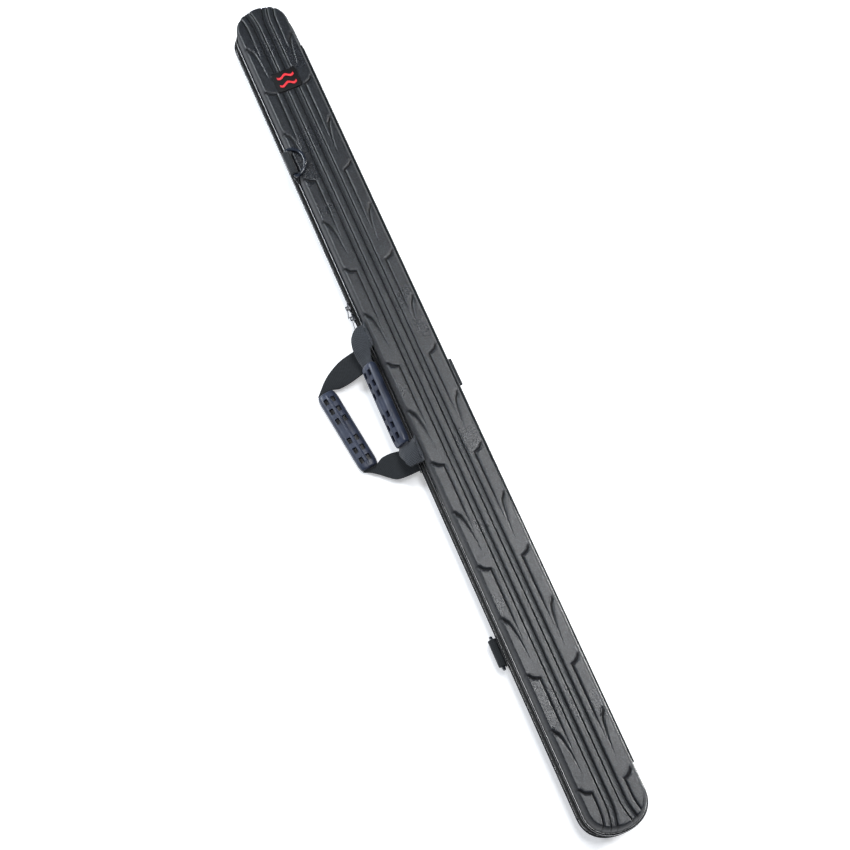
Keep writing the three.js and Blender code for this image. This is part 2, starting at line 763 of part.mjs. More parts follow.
// The lid's handle: its grip is tilted, so the outer edge of the webbing comes down to it and the inner edge
// stays near the wall
const tiltedBox = (...limits) => {
  const geometry = box(...limits);
  geometry.rotateX(radians(LID_GRIP_TILT));
  return place(geometry, LID_GRIP);
};

function lidMouth(side, reach) {
  const corner = new THREE.Vector3(side * (GRIP_LENGTH / 2 + 1), reach, 0);
  corner.applyAxisAngle(new THREE.Vector3(1, 0, 0), radians(LID_GRIP_TILT));
  return corner.add(new THREE.Vector3(...LID_GRIP)).toArray();
}

function addLidHandle() {
  const grip = gripGeometry();
  grip.rotateX(radians(LID_GRIP_TILT));
  addPiece('lid_grip', 'grip', place(grip, LID_GRIP));
  const [pivotY, pivotZ] = LID_PIVOT;
  const [left, right] = LID_ANCHORS;
  const wide = STRAP_WIDTH / 2;
  const half = MOUTH_WIDTH / 2;
  const end = GRIP_LENGTH / 2;
  const leftCorner = lidMouth(-1, -half);
  const leftInner = lidMouth(-1, half);
  const sweep = strapSolid(
    [
      [left - wide, pivotY, pivotZ],
      [left - wide, pivotY - 8, pivotZ],
      [left - wide + 5, pivotY - 15, pivotZ - 0.3],
      [left - wide + 14, pivotY - 21.5, pivotZ - 2],
      [left - wide + 28, leftCorner[1] - 4, pivotZ - 8],
      [left - wide + 40, leftCorner[1] - 2.5, leftCorner[2] + 2],
      leftCorner,
    ],
    [
      [left + wide, pivotY, pivotZ],
      [left + wide + 1, pivotY - 1, pivotZ],
      [left + wide + 2, pivotY - 2, pivotZ],
      [left + wide + 4, pivotY - 3, pivotZ - 0.2],
      [left + wide + 8, pivotY - 3.9, pivotZ - 0.2],
      [left + wide + 13, leftInner[1] + 0.6, leftInner[2] + 0.1],
      leftInner,
    ],
  );
  const rightCorner = lidMouth(1, -half);
  const rightInner = lidMouth(1, half);
  const fold = strapSolid(
    [
      [right + wide, pivotY, pivotZ],
      [right + wide, pivotY - 9, pivotZ],
      [right + wide, pivotY - 15.5, pivotZ - 0.6],
      [right + wide - 4, pivotY - 19, pivotZ - 2],
      [right + wide - 13, rightCorner[1] - 1, pivotZ - 6],
      [right + wide - 24, rightCorner[1] - 2.8, rightCorner[2] + 3],
      rightCorner,
    ],
    [
      [right - wide, pivotY, pivotZ],
      [rightInner[0] - 0.2, pivotY - 1.6, pivotZ],
      [rightInner[0] + 0.4, pivotY - 3, pivotZ],
      [rightInner[0] + 0.8, pivotY - 4.2, pivotZ + 0.1],
      [rightInner[0] + 0.9, rightInner[1] + 1.6, rightInner[2] - 0.1],
      [rightInner[0] + 0.6, rightInner[1] + 0.7, rightInner[2]],
      rightInner,
    ],
  );
  [sweep, fold].forEach((strap, i) => {
    const side = i === 0 ? -1 : 1;
    const [x0, x1] = [side * (end - TONGUE_DEPTH), side * (end + 2)].sort((a, b) => a - b);
    const tongue = tiltedBox(x0, x1, -TONGUE_WIDTH / 2, TONGUE_WIDTH / 2, -WEBBING / 2, WEBBING / 2);
    const turn = foldBar(LID_ANCHORS[i], pivotY, pivotZ, STRAP_WIDTH);
    addPiece(`lid_handle_strap_${['left', 'right'][i]}`, 'greyWebbing', join(strap, tongue, turn));
    addAnchor(LID, `lid_handle_anchor_${['left', 'right'][i]}`, LID_ANCHORS[i]);
  });
}

// D-rings in webbing loops that are riveted to the front wall
function ringGeometry() {
  const half = RING_WIDTH / 2;
  const arc = RING_REACH - RING_BAR / 2;
  const steps = 12;
  const outer = [
    [-half, -RING_BAR / 2],
    [half, -RING_BAR / 2],
  ];
  const hole = [];
  for (let i = 0; i <= steps; i += 1) {
    const turn = (Math.PI * i) / steps;
    outer.push([half * Math.cos(turn), RING_BAR / 2 + (arc - RING_BAR / 2) * Math.sin(turn)]);
    hole.push([
      (half - RING_BAR) * Math.cos(turn),
      RING_BAR / 2 + (arc - 1.5 * RING_BAR) * Math.sin(turn),
    ]);
  }
  const geometry = new THREE.ExtrudeGeometry(flatShape(outer, hole), {
    depth: RING_THICK,
    bevelEnabled: false,
  });
  geometry.translate(0, 0, -RING_THICK / 2);
  return geometry;
}

function addRing(shell, label, x, [barY, barZ], tilt, rootLow) {
  const ring = ringGeometry();
  ring.rotateX(radians(tilt));
  ring.translate(x, barY, barZ);
  addPiece(`${label}_d_ring`, 'ring', ring);
  const rootHigh = rootLow + TAB_ROOT;
  const loop = (radius, from, to, count) => {
    const points = [];
    for (let i = 0; i <= count; i += 1) {
      const turn = radians(from + ((to - from) * i) / count);
      points.push([barY + radius * Math.cos(turn), barZ + radius * Math.sin(turn)]);
    }
    return points;
  };
  const near = [rootLow, (rootLow + rootHigh) / 2, rootHigh];
  const neckY = frontY(shell, rootHigh, GAP + WEBBING) - barY;
  const neck = (Math.atan2(rootHigh - barZ, neckY) * 180) / Math.PI;
  const corners = [
    ...near.map((z) => [frontY(shell, z, GAP), z]),
    ...loop(LOOP_RADIUS + WEBBING, neck + 35, neck + 325, 11),
    ...near.map((z) => [frontY(shell, z, GAP + 2 * WEBBING), z]).reverse(),
  ];
  const hole = loop(LOOP_RADIUS, 0, 330, 11);
  const tab = slab(corners, x, RING_TAB, hole);
  const offset = 9;
  const z = rootLow + TAB_ROOT / 2;
  const holes = addRivets(shell, `${label}_d_ring_tab`, x, z, [-offset, offset], 2 * WEBBING + GAP);
  addPiece(`${label}_d_ring_tab`, 'webbing', cut(tab, holes));
}

// Badge in its recess, with two plain wave bands
function roundedPlate(lengthX, widthY, radius, thick) {
  const [a, b] = [lengthX / 2, widthY / 2];
  const shape = new THREE.Shape();
  shape.moveTo(-a + radius, -b);
  shape.lineTo(a - radius, -b);
  shape.absarc(a - radius, -b + radius, radius, -Math.PI / 2, 0);
  shape.lineTo(a, b - radius);
  shape.absarc(a - radius, b - radius, radius, 0, Math.PI / 2);
  shape.lineTo(-a + radius, b);
  shape.absarc(-a + radius, b - radius, radius, Math.PI / 2, Math.PI);
  shape.lineTo(-a, -b + radius);
  shape.absarc(-a + radius, -b + radius, radius, Math.PI, 1.5 * Math.PI);
  return new THREE.ExtrudeGeometry(shape, { depth: thick, bevelEnabled: false, curveSegments: 3 });
}

function waveBand(x) {
  const half = BADGE_WIDTH / 2 - 5;
  const steps = 12;
  const line = (offset) => {
    const points = [];
    for (let i = 0; i <= steps; i += 1) {
      const y = -half + (2 * half * i) / steps;
      points.push([x + 2.2 * Math.sin((3 * Math.PI * i) / steps) + offset, y]);
    }
    return points;
  };
  const shape = flatShape([...line(-1.9), ...line(1.9).reverse()]);
  return new THREE.ExtrudeGeometry(shape, { depth: WAVE_THICK, bevelEnabled: false });
}

function addBadge() {
  const floor = HEIGHT - BADGE_RECESS + GAP;
  const plate = roundedPlate(BADGE_LENGTH, BADGE_WIDTH, 3, BADGE_THICK);
  plate.translate(BADGE_X, LID_SHIFT, floor);
  addPiece('badge_patch', 'badge', plate);
  [-6.5, 6.5].forEach((offset, i) => {
    const wave = waveBand(BADGE_X + offset);
    wave.translate(0, LID_SHIFT, floor + BADGE_THICK + GAP);
    addPiece(`badge_wave_${i + 1}`, 'red', wave);
  });
}

function badgeRecess() {
  const margin = 2 * BADGE_MARGIN;
  const recess = roundedPlate(BADGE_LENGTH + margin, BADGE_WIDTH + margin, 4, BADGE_RECESS + 2);
  recess.translate(BADGE_X, LID_SHIFT, HEIGHT - BADGE_RECESS);
  return recess;
}

// Rims, zip and hinge
function bead(shell, thick, edge, up) {
  const ring = (off, z) => inset(shell, -off, z);
  const lip = edge - up * BEAD_LIP;
  const back = edge + up * (BEAD_HEIGHT - BEAD_LIP);
  return ringSolid(
    [
      ring(GAP, edge),
      ring(GAP, lip),
      ring(thick - 0.8, lip),
      ring(thick, lip + up * 1.4),
      ring(thick, back - up * 1.6),
      ring(thick - 1.1, back),
      ring(GAP, back),
    ],
    true,
  );
}

const zipRing = (inward, z) => ({
  length: TEETH_LENGTH / 2 - inward,
  width: TEETH_OUT_WIDTH / 2 - inward,
  end: END_DEPTH + BEAD_THICK - inward,
  shift: TEETH_SHIFT,
  z,
});

function teethGeometry(up) {
  const near = PARTING + (up * GAP) / 2;
  const far = near + up * TEETH_HALF;
  return ringSolid(
    [
      zipRing(0.1, near),
      zipRing(0, near + up * 1.2),
      zipRing(0.9, far),
      zipRing(TEETH_DEPTH, far),
      zipRing(TEETH_DEPTH, near),
    ],
    false,
    ZIP_BACK_END,
  );
}

function tapeGeometry(shell, up) {
  const leg = PARTING + up * (GAP / 2 + 0.9);
  const legTop = leg + up * TAPE_THICK;
  const inWall = (off, z) => inset(shell, WALL + off, z);
  const edge = shell.z(0);
  const high = edge + up * TAPE_UP_WALL;
  return ringSolid(
    [
      zipRing(TEETH_DEPTH + GAP, leg),
      zipRing(TEETH_DEPTH + GAP, legTop),
      inWall(GAP, legTop),
      inWall(GAP + DRAFT * 0.8, high),
      inWall(GAP + DRAFT * 0.8 + TAPE_THICK, high),
      inWall(GAP + TAPE_THICK, leg),
    ],
    false,
    ZIP_BACK_END,
  );
}

function addZip() {
  addPiece('base_zip_teeth', 'teeth', teethGeometry(-1));
  addPiece('lid_zip_teeth', 'teeth', teethGeometry(1));
  addPiece('base_zip_tape', 'tape', tapeGeometry(BASE, -1));
  addPiece('lid_zip_tape', 'tape', tapeGeometry(LID, 1));
  const out = TEETH_SHIFT + TEETH_OUT_WIDTH / 2;
  const stopTop = PARTING - GAP / 2;
  [-1, 1].forEach((end, i) => {
    const near = end * (ZIP_BACK_END - GAP);
    const far = near - end * STOP_LENGTH;
    const [x0, x1] = [Math.min(near, far), Math.max(near, far)];
    const stop = box(x0, x1, out - TEETH_DEPTH, out, stopTop - TEETH_HALF, stopTop);
    addPiece(`zip_stop_${['left', 'right'][i]}`, 'slider', stop);
  });
}

// Slider: an outer plate with a small bridge that holds the pull
const SLIDERS = [
  { name: 'left', x: -147, nose: 1, pullTurn: 16 },
  { name: 'right', x: -131, nose: -1, pullTurn: 8 },
];
const SLIDER_LENGTH = 13;
const SLIDER_WIDTH = 8;
const SLIDER_THICK = 3;
const BRIDGE_HALF = 1.1;
const PULL_THICK = 1;
const PULL_LENGTH = 15;
const PULL_BAR = 0.5;
const BRIDGE_CLEAR = 2.1;
const BRIDGE_TOP = 1.6;
const SLIDER_FACE = TEETH_SHIFT - TEETH_OUT_WIDTH / 2 - GAP - SLIDER_THICK;
const PULL_MIDDLE = SLIDER_FACE - BRIDGE_CLEAR / 2;

function sliderGeometry({ x, nose }) {
  const half = SLIDER_LENGTH / 2;
  const wide = SLIDER_WIDTH / 2;
  const shape = flatShape(
    [
      [-half, -wide + 1.2],
      [-half + 1.2, -wide],
      [half - 4, -wide],
      [half, -wide + 2.2],
      [half, wide - 2.2],
      [half - 4, wide],
      [-half + 1.2, wide],
      [-half, wide - 1.2],
    ].map(([u, v]) => [u * nose, v]),
  );
  const plate = new THREE.ExtrudeGeometry(shape, { depth: SLIDER_THICK, bevelEnabled: false });
  plate.rotateX(Math.PI / 2);
  plate.translate(x, SLIDER_FACE + SLIDER_THICK, PARTING);
  const outer = SLIDER_FACE - BRIDGE_CLEAR - BRIDGE_TOP;
  const [y0, y1] = [outer, SLIDER_FACE + 0.5];
  const [z0, z1] = [PARTING - BRIDGE_HALF, PARTING + BRIDGE_HALF];
  const under = SLIDER_FACE - BRIDGE_CLEAR;
  return join(
    plate,
    box(x - 3.2, x - 1.8, y0, y1, z0, z1),
    box(x + 1.8, x + 3.2, y0, y1, z0, z1),
    box(x - 3.2, x + 3.2, y0, under, z0, z1),
  );
}

// Both pulls lie towards +X and are swung out, clear of the next slider
function pullGeometry({ x, pullTurn }) {
  const wide = 3.1;
  const outline = [
    [-PULL_BAR, -2.6],
    [5.5, -2.6],
    [7.5, -1.9],
    [PULL_LENGTH - 3, -wide],
    [PULL_LENGTH, -wide + 1.2],
    [PULL_LENGTH, wide - 1.2],
    [PULL_LENGTH - 3, wide],
    [7.5, 1.9],
    [5.5, 2.6],
    [-PULL_BAR, 2.6],
  ];
  const hole = [
    [PULL_BAR, -1.6],
    [4.9, -1.6],
    [4.9, 1.6],
    [PULL_BAR, 1.6],
  ];
  const plate = new THREE.ExtrudeGeometry(flatShape(outline, hole), {
    depth: PULL_THICK,
    bevelEnabled: false,
  });
  plate.rotateX(Math.PI / 2);
  plate.translate(0, PULL_THICK / 2, 0);
  plate.rotateZ(-radians(pullTurn));
  plate.translate(x, PULL_MIDDLE, PARTING);
  return plate;
}

function addSliders() {
  for (const slider of SLIDERS) {
    addPiece(`zip_slider_${slider.name}`, 'slider', sliderGeometry(slider));
    addPiece(`zip_pull_${slider.name}`, 'slider', pullGeometry(slider));
  }
}

function addHinge() {
  const baseBack = BASE.width + BEAD_THICK + GAP;
  const lidBack = LID.width + BEAD_THICK + LID_SHIFT + GAP;
  const out = baseBack + BAND_THICK;
  const near = PARTING - 0.2;
  const far = PARTING + 0.2;
  const length = 2 * (ZIP_BACK_END - BAND_SHORT);
  const lower = [
    [baseBack, PARTING - BAND_UP],
    [out, PARTING - BAND_UP],
    [out, near],
    [baseBack, near],
  ];
  const upper = [
    [lidBack, far],
    [out, far],
    [out, far + BAND_THICK],
    [lidBack + BAND_THICK, far + BAND_THICK],
    [lidBack + BAND_THICK, PARTING + BAND_UP],
    [lidBack, PARTING + BAND_UP],
  ];
  addPiece('hinge_band_base', 'webbing', slab(lower, 0, length));
  addPiece('hinge_band_lid', 'webbing', slab(upper, 0, length));
}

function addRearTab() {
  const [low, middle, high] = [BASE.z(23), BASE.z(13), BASE.z(9)];
  const wall = (z) => -frontY(BASE, z, GAP);
  const out = BASE.width + BEAD_THICK + REAR_TAB_OUT;
  const corners = [
    [wall(low), low],
    [wall(low) + WEBBING, low],
    [wall(middle) + WEBBING, middle],
    [out, middle],
    [out, high],
    [wall(high), high],
    [wall(middle), middle],
  ];
  addPiece('rear_tab', 'webbing', slab(corners, REAR_TAB_X, REAR_TAB_WIDTH));
}

// Inside: linings, foam rests and pads, retaining straps
function liningRings(shell, thick, low) {
  const offset = WALL + LINING_OFF + thick;
  const thinner = WALL + GAP + thick;
  return shellRings(shell, offset, thinner, [0, 45, 90], low);
}

function liningGeometry(shell) {
  const own = centred(shell);
  const skin = cut(stackSolid(liningRings(own, 0, 1)), [stackSolid(liningRings(own, LINING, -1))]);
  return placeShell(shell, skin);
}

// Half width inside the lining at a height above the flat face, and the corner heights that it turns at
function insideCorners(shell) {
  const offset = WALL + LINING_OFF + LINING + GAP;
  const thinner = WALL + LINING + 2 * GAP;
  return [0, 45, 90].map((angle) => [shell.width - offset - edgeInset(angle), edgeHeight(angle, thinner)]);
}

function addRests() {
  const corners = insideCorners(BASE).map(([y, h]) => [y, BASE.z(h)]);
  const right = [...corners].reverse();
  const left = corners.map(([y, z]) => [-y, z]);
  const spacing = corners[0][0] - NOTCH_EDGE - NOTCH_RADIUS;
  REST_XS.forEach((x, i) => {
    const top = [];
    const steps = 6;
    for (const rod of [-spacing, 0, spacing]) {
      for (let k = 0; k <= steps; k += 1) {
        const turn = Math.PI + (Math.PI * k) / steps;
        top.push([rod + NOTCH_RADIUS * Math.cos(turn), REST_TOP + NOTCH_RADIUS * Math.sin(turn)]);
      }
    }
    const wide = corners[0][0];
    const shape = [...right, [wide, REST_TOP], ...top.reverse(), [-wide, REST_TOP], ...left];
    addPiece(`rod_rest_${i + 1}`, 'foam', slab(shape, x, REST_LENGTH));
  });
}

function addPads() {
  const corners = insideCorners(LID).map(([y, h]) => [y, LID.z(h)]);
  const right = corners.map(([y, z]) => [y + LID_SHIFT, z]);
  const left = [...corners].reverse().map(([y, z]) => [LID_SHIFT - y, z]);
  const wide = corners[0][0];
  REST_XS.forEach((x, i) => {
    const shape = [
      [LID_SHIFT - wide, PAD_BOTTOM + 3],
      [LID_SHIFT - wide + 5, PAD_BOTTOM],
      [LID_SHIFT + wide - 5, PAD_BOTTOM],
      [LID_SHIFT + wide, PAD_BOTTOM + 3],
      ...right,
      ...left,
    ];
    addPiece(`lid_pad_${i + 1}`, 'foam', slab(shape, x, REST_LENGTH));
  });
}

function addRetainers() {
  const wide = insideCorners(BASE)[0][0];
  const [low, turn] = [22, 31];
  const patchOut = -wide;
  const patch = 1.2;
  const strapFront = -wide + patch + GAP;
  const inner = RETAINER_THICK;
  RETAINER_XS.forEach((x, i) => {
    const shape = [
      [wide, low],
      [wide, turn],
      [wide - 5, RETAINER_Z],
      [strapFront + 5, RETAINER_Z],
      [strapFront, turn],
      [strapFront, low],
      [strapFront + inner, low],
      [strapFront + inner, turn - 0.4],
      [strapFront + 5.6, RETAINER_Z - inner],
      [wide - 5.6, RETAINER_Z - inner],
      [wide - inner, turn - 0.4],
      [wide - inner, low],
    ];
    addPiece(`retainer_strap_${i + 1}`, 'webbing', slab(shape, x, RETAINER_WIDTH));
    const patchBox = box(x - RETAINER_WIDTH / 2, x + RETAINER_WIDTH / 2, patchOut, patchOut + patch, low - 4, turn);
    addPiece(`retainer_patch_${i + 1}`, 'lining', patchBox);
  });
}

// Assembly. The handles, rings and tabs come first, because their rivets pass through the shells.
addBaseHandle();
addLidHandle();
addRing(LID, 'lid', -RING_X, LID_BAR, LID_RING_TILT, LID_EDGE + 6.4);
addRing(BASE, 'base', RING_X, BASE_BAR, -90, 9);
addPiece('base_shell', 'abs', cut(shellGeometry(BASE), rivetHoles.base));
addPiece('lid_shell', 'abs', cut(shellGeometry(LID), [badgeRecess(), ...rivetHoles.lid]));
addPiece('base_rim', 'gloss', bead(BASE, BEAD_THICK, BASE_EDGE, -1));
addPiece('lid_rim', 'gloss', bead(LID, BEAD_THICK, LID_EDGE, 1));
addZip();
addSliders();
addHinge();
addRearTab();
addBadge();
addPiece('base_lining', 'lining', liningGeometry(BASE));
addPiece('lid_lining', 'lining', liningGeometry(LID));
addRests();
addPads();
addRetainers();

export default model;
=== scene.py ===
import math

import bmesh
import bpy
import numpy as np
from mathutils import Matrix, Vector


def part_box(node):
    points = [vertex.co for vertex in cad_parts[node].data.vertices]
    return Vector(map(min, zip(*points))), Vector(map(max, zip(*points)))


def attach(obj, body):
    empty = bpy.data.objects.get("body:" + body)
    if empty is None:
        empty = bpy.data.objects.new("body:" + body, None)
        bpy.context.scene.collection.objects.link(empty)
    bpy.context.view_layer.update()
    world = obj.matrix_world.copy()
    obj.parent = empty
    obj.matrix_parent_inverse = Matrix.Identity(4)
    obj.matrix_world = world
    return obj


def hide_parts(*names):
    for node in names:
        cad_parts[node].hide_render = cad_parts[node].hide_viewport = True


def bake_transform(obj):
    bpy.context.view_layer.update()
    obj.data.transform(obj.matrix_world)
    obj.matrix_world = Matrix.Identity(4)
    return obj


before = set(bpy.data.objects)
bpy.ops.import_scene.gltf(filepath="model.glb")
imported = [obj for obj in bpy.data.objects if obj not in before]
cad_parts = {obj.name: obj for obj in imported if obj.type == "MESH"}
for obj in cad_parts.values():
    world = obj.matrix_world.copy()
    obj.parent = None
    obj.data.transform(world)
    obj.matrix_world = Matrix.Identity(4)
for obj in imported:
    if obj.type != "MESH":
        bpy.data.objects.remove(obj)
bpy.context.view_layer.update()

# Half shells: 3.2 mm ABS sheet, vacuum formed over a tool with a tyre-tread relief and trimmed at the edge.
# Each is one skin, with more points where the relief turns. The lid's has a recess for the badge.
MM = 0.001
# Half length and half width at the edge, middle across the case, height of the edge, and up or down.
SHELLS = {
    "base": {"long": 622.4, "wide": 43.7, "shift": 0.0, "edge": 35.0, "up": -1},
    "lid": {"long": 621.8, "wide": 39.9, "shift": 1.6, "edge": 45.0, "up": 1},
}
END_DEPTH = 36.0  # how far a rounded end reaches past the straight part
END_POWER = 2.25  # its form: 2 is an ellipse, and more is squarer
DEPTH = 35.0
SHEET = 3.2
DRAFT = 1.2  # how far the wall leans in
EDGE_ACROSS = 5.0  # the rounded shoulder, in plan and in height
EDGE_UP = 13.0
PITCH = 149.0  # of the tread's notches along the case
NOTCH_XS = [-473.6 + PITCH * k for k in range(8)]
CLAW = 63.0  # from a notch to the next claw
SIDE_GROOVE = 21.4  # from the middle line
SIDE_START = 530.0  # on the -X side it starts here, and is full this much further on
SIDE_FADE = 55.0
FAN_START = 585.0  # between these two places the long grooves spread, at each end
FAN_END = 614.0
FAN_SPREAD = 4.4
CAP_COLUMNS = 16  # of faces, on each rounded end
BADGE = (-489.0, 17.2, 18.7, 1.2)  # middle, half length, half width, depth of the recess
BADGE_CORNER = 3.0
BADGE_STEPS = (-0.35, -0.1, 0.1, 0.35)  # points close to the edge of the recess


def signed_power(value, power):
    return np.sign(value) * np.abs(value) ** power


def cap_turns(steps):
    """Angles round the end at +X, from the hinge side to the zip side."""
    return np.radians(np.linspace(90, -90, steps + 1))


def plan(long, wide, end, shift, turns, xs=None):
    """Plan outline: round the +X end, along the front, round the -X end, along the back. xs are the stops
    between the ends, from +X to -X."""
    across = wide * signed_power(np.sin(turns), 2 / END_POWER)
    along = end * np.abs(np.cos(turns)) ** (2 / END_POWER)
    straight = long - end
    stops = np.array([] if xs is None else xs, float)
    x = np.concatenate([straight + along, stops, -straight - along, stops[::-1]])
    y = np.concatenate([across, np.full(len(stops), -wide), -across, np.full(len(stops), wide)])
    return x, y + shift


def new_object(name, vertices, faces, smooth):
    """A mesh object from points in millimetres. smooth is the angle, in degrees, under which edges shade
    smoothly."""
    mesh = bpy.data.meshes.new(name)
    mesh.from_pydata((np.asarray(vertices, float) * MM).tolist(), [], faces)
    mesh.validate()
    obj = bpy.data.objects.new(name, mesh)
    bpy.context.scene.collection.objects.link(obj)
    face_out(obj)
    mesh.shade_smooth()
    mesh.set_sharp_from_angle(angle=math.radians(smooth))
    return obj


def face_out(obj):
    bm = bmesh.new()
    bm.from_mesh(obj.data)
    bmesh.ops.recalc_face_normals(bm, faces=bm.faces)
    bm.to_mesh(obj.data)
    bm.free()


def grid_faces(rows, columns):
    """Quads between rings of points, each ring closed."""
    faces = []
    for r in range(rows - 1):
        a = r * columns
        b = a + columns
        for c in range(columns):
            d = (c + 1) % columns
            faces.append((a + c, a + d, b + d, b + c))
    return faces


def profile(points, value):
    xs, ys = zip(*points)
    return np.interp(value, xs, ys)


# Height lost at each distance from the middle line: the crowned rib, a groove with rolled lips, as a formed
# sheet has, and half of a dished rib.
RIB = [(0, 0), (1.2, 0.03), (2.2, 0.13), (3.0, 0.32), (3.6, 0.58), (3.9, 0.9), (4.5, 2.2), (4.8, 2.4),
       (5.1, 2.2), (5.7, 0.8), (6.0, 0.5), (6.6, 0.68), (7.4, 0.9), (8.55, 1.0)]
RIB_GROOVE = 4.8  # middle of the groove
DISH = 8.55  # middle of the dished rib
# From there the same comes back the other way, up to the crown of the next rib.
CHANNELS = [*RIB, *((round(2 * DISH - x, 2), lost) for x, lost in RIB[-2:0:-1]), (16.9, 0), (99, 0)]
# The side groove has the lip of the first one on both sides, and is there only near the ends.
SIDE_CHANNEL = [*((round(RIB_GROOVE - x, 2), lost) for x, lost in RIB[7:0:-1]), (4.5, 0), (99, 0)]
# A notch or a claw across: share of its half width, and share of its depth.
GROOVE = [(0, 1), (0.22, 0.92), (0.62, 0.38), (0.85, 0.22), (1.35, 0.08), (2.2, 0), (99, 0)]


def trace(depth, x, a, path):
    """Deepens depth along a groove: path holds x, distance from the middle line, half width and depth."""
    path = np.array(path, float)
    reach = path[:, 2].max() * GROOVE[-2][0]
    low, high = path.min(0) - reach, path.max(0) + reach
    near = np.nonzero((x > low[0]) & (x < high[0]) & (a > low[1]) & (a < high[1]))[0]
    px, pa = x[near], a[near]
    best = np.zeros(len(near))
    for start, stop in zip(path, path[1:]):
        step = stop - start
        t = ((px - start[0]) * step[0] + (pa - start[1]) * step[1]) / max(step[0] ** 2 + step[1] ** 2, 1e-9)
        t = np.clip(t, 0, 1)
        away = np.hypot(px - start[0] - t * step[0], pa - start[1] - t * step[1])
        half = start[2] + t * step[2]
        deep = start[3] + t * step[3]
        best = np.maximum(best, deep * profile(GROOVE, away / np.maximum(half, 0.2)))
    depth[near] = np.maximum(depth[near], best)


def tread(x, row, a, flat):
    """Depth of the relief: x along the case, row the distance of the long grooves' rows from the middle
    line, a along the surface from the middle line, flat the half width of the flat face."""
    fade = np.where(x > 0, x > NOTCH_XS[-1], np.clip((-x - SIDE_START) / SIDE_FADE, 0, 1))
    depth = np.maximum(profile(CHANNELS, row), profile(SIDE_CHANNEL, np.abs(row - SIDE_GROOVE)) * fade)
    for notch in NOTCH_XS:
        tail = [(notch + 55, SIDE_GROOVE, 1.5, 2.2), (notch + 98, SIDE_GROOVE, 0.8, 0.1)]
        if notch == NOTCH_XS[-1]:
            tail = [(notch + 14, SIDE_GROOVE, 1.5, 2.3)]
        trace(depth, x, a, [
            (notch - 10.2, flat + 9, 1.2, 0.3), (notch - 9.6, flat + 4, 1.8, 2.2),
            (notch - 8.4, flat - 0.5, 2.0, 2.8), (notch - 7.2, 32.6, 2.0, 2.8), (notch - 3.4, 29.6, 1.9, 2.8),
            (notch - 1.2, 25, 1.9, 2.8), (notch, SIDE_GROOVE, 1.8, 2.5), *tail])
    for notch in (NOTCH_XS[0] - PITCH, *NOTCH_XS[:-1]):
        claw = notch + CLAW
        trace(depth, x, a, [
            (claw - 1.5, flat + 9, 1.3, 0.3), (claw - 0.5, flat + 4, 2.1, 2.4), (claw + 1, flat, 2.4, 3.0),
            (claw + 4, 32.4, 2.3, 3.0), (claw + 8, 29.2, 2.1, 2.9), (claw + 14, 27.2, 1.9, 2.6),
            (claw + 33, 24.4, 1.3, 1.6), (claw + 60, 22.4, 0.6, 0.1)])
    return depth


def spread(x, row, flat):
    """How far the long grooves spread outward at the ends."""
    share = np.clip((np.abs(x) - FAN_START) / (FAN_END - FAN_START), 0, 1)
    hold = np.clip(np.abs(row) / 3, 0, 1) * np.clip((flat - np.abs(row)) / 9, 0, 1)
    return np.sign(row) * FAN_SPREAD * share ** 2 * hold


def relief_rows(flat):
    """Rows across the flat face: close together in the grooves and where they meet the rounded ends."""
    stops = [0.6, *(v for v, _ in CHANNELS[:-1]), 4.2, 5.4, 11.7, 12.9, *np.arange(17.6, flat, 0.8)]
    stops += [SIDE_GROOVE + side * v for v, _ in SIDE_CHANNEL[:-1] for side in (-1, 1)]
    stops += [BADGE[2] + step for step in BADGE_STEPS]
    stops = np.array(stops)
    last = flat * np.array([0.95, 0.966, 0.979, 0.988, 0.994, 0.9975, 0.9993, 1])
    stops = np.unique(np.round([*stops[stops < flat * 0.94], *last], 2))
    return np.concatenate([stops[::-1], -stops[stops > 0]])


def relief_columns():
    """Stops along the case: close together at the notches and claws, and at the edges of the badge."""
    stops = []
    x = -640.0
    while x < 640:
        into = (x - NOTCH_XS[0]) % PITCH
        close = into > PITCH - 15 or into < 3.5 or CLAW - 6 < into < CLAW + 11
        stops.append(x)
        x += 0.8 if close else 1.7 if into < 125 else 3.4
    middle, half = BADGE[:2]
    for side in (-1, 1):
        stops += [middle + side * (half + step) for step in BADGE_STEPS]
    return np.unique(np.round(stops, 2))


def mark_hollow(obj, depths):
    """Keeps at each point how far it lies under the surface, for the material, which paints shade there."""
    hollow = obj.data.attributes.new("hollow", "FLOAT", "POINT")
    hollow.data.foreach_set("value", depths.astype(np.float32))


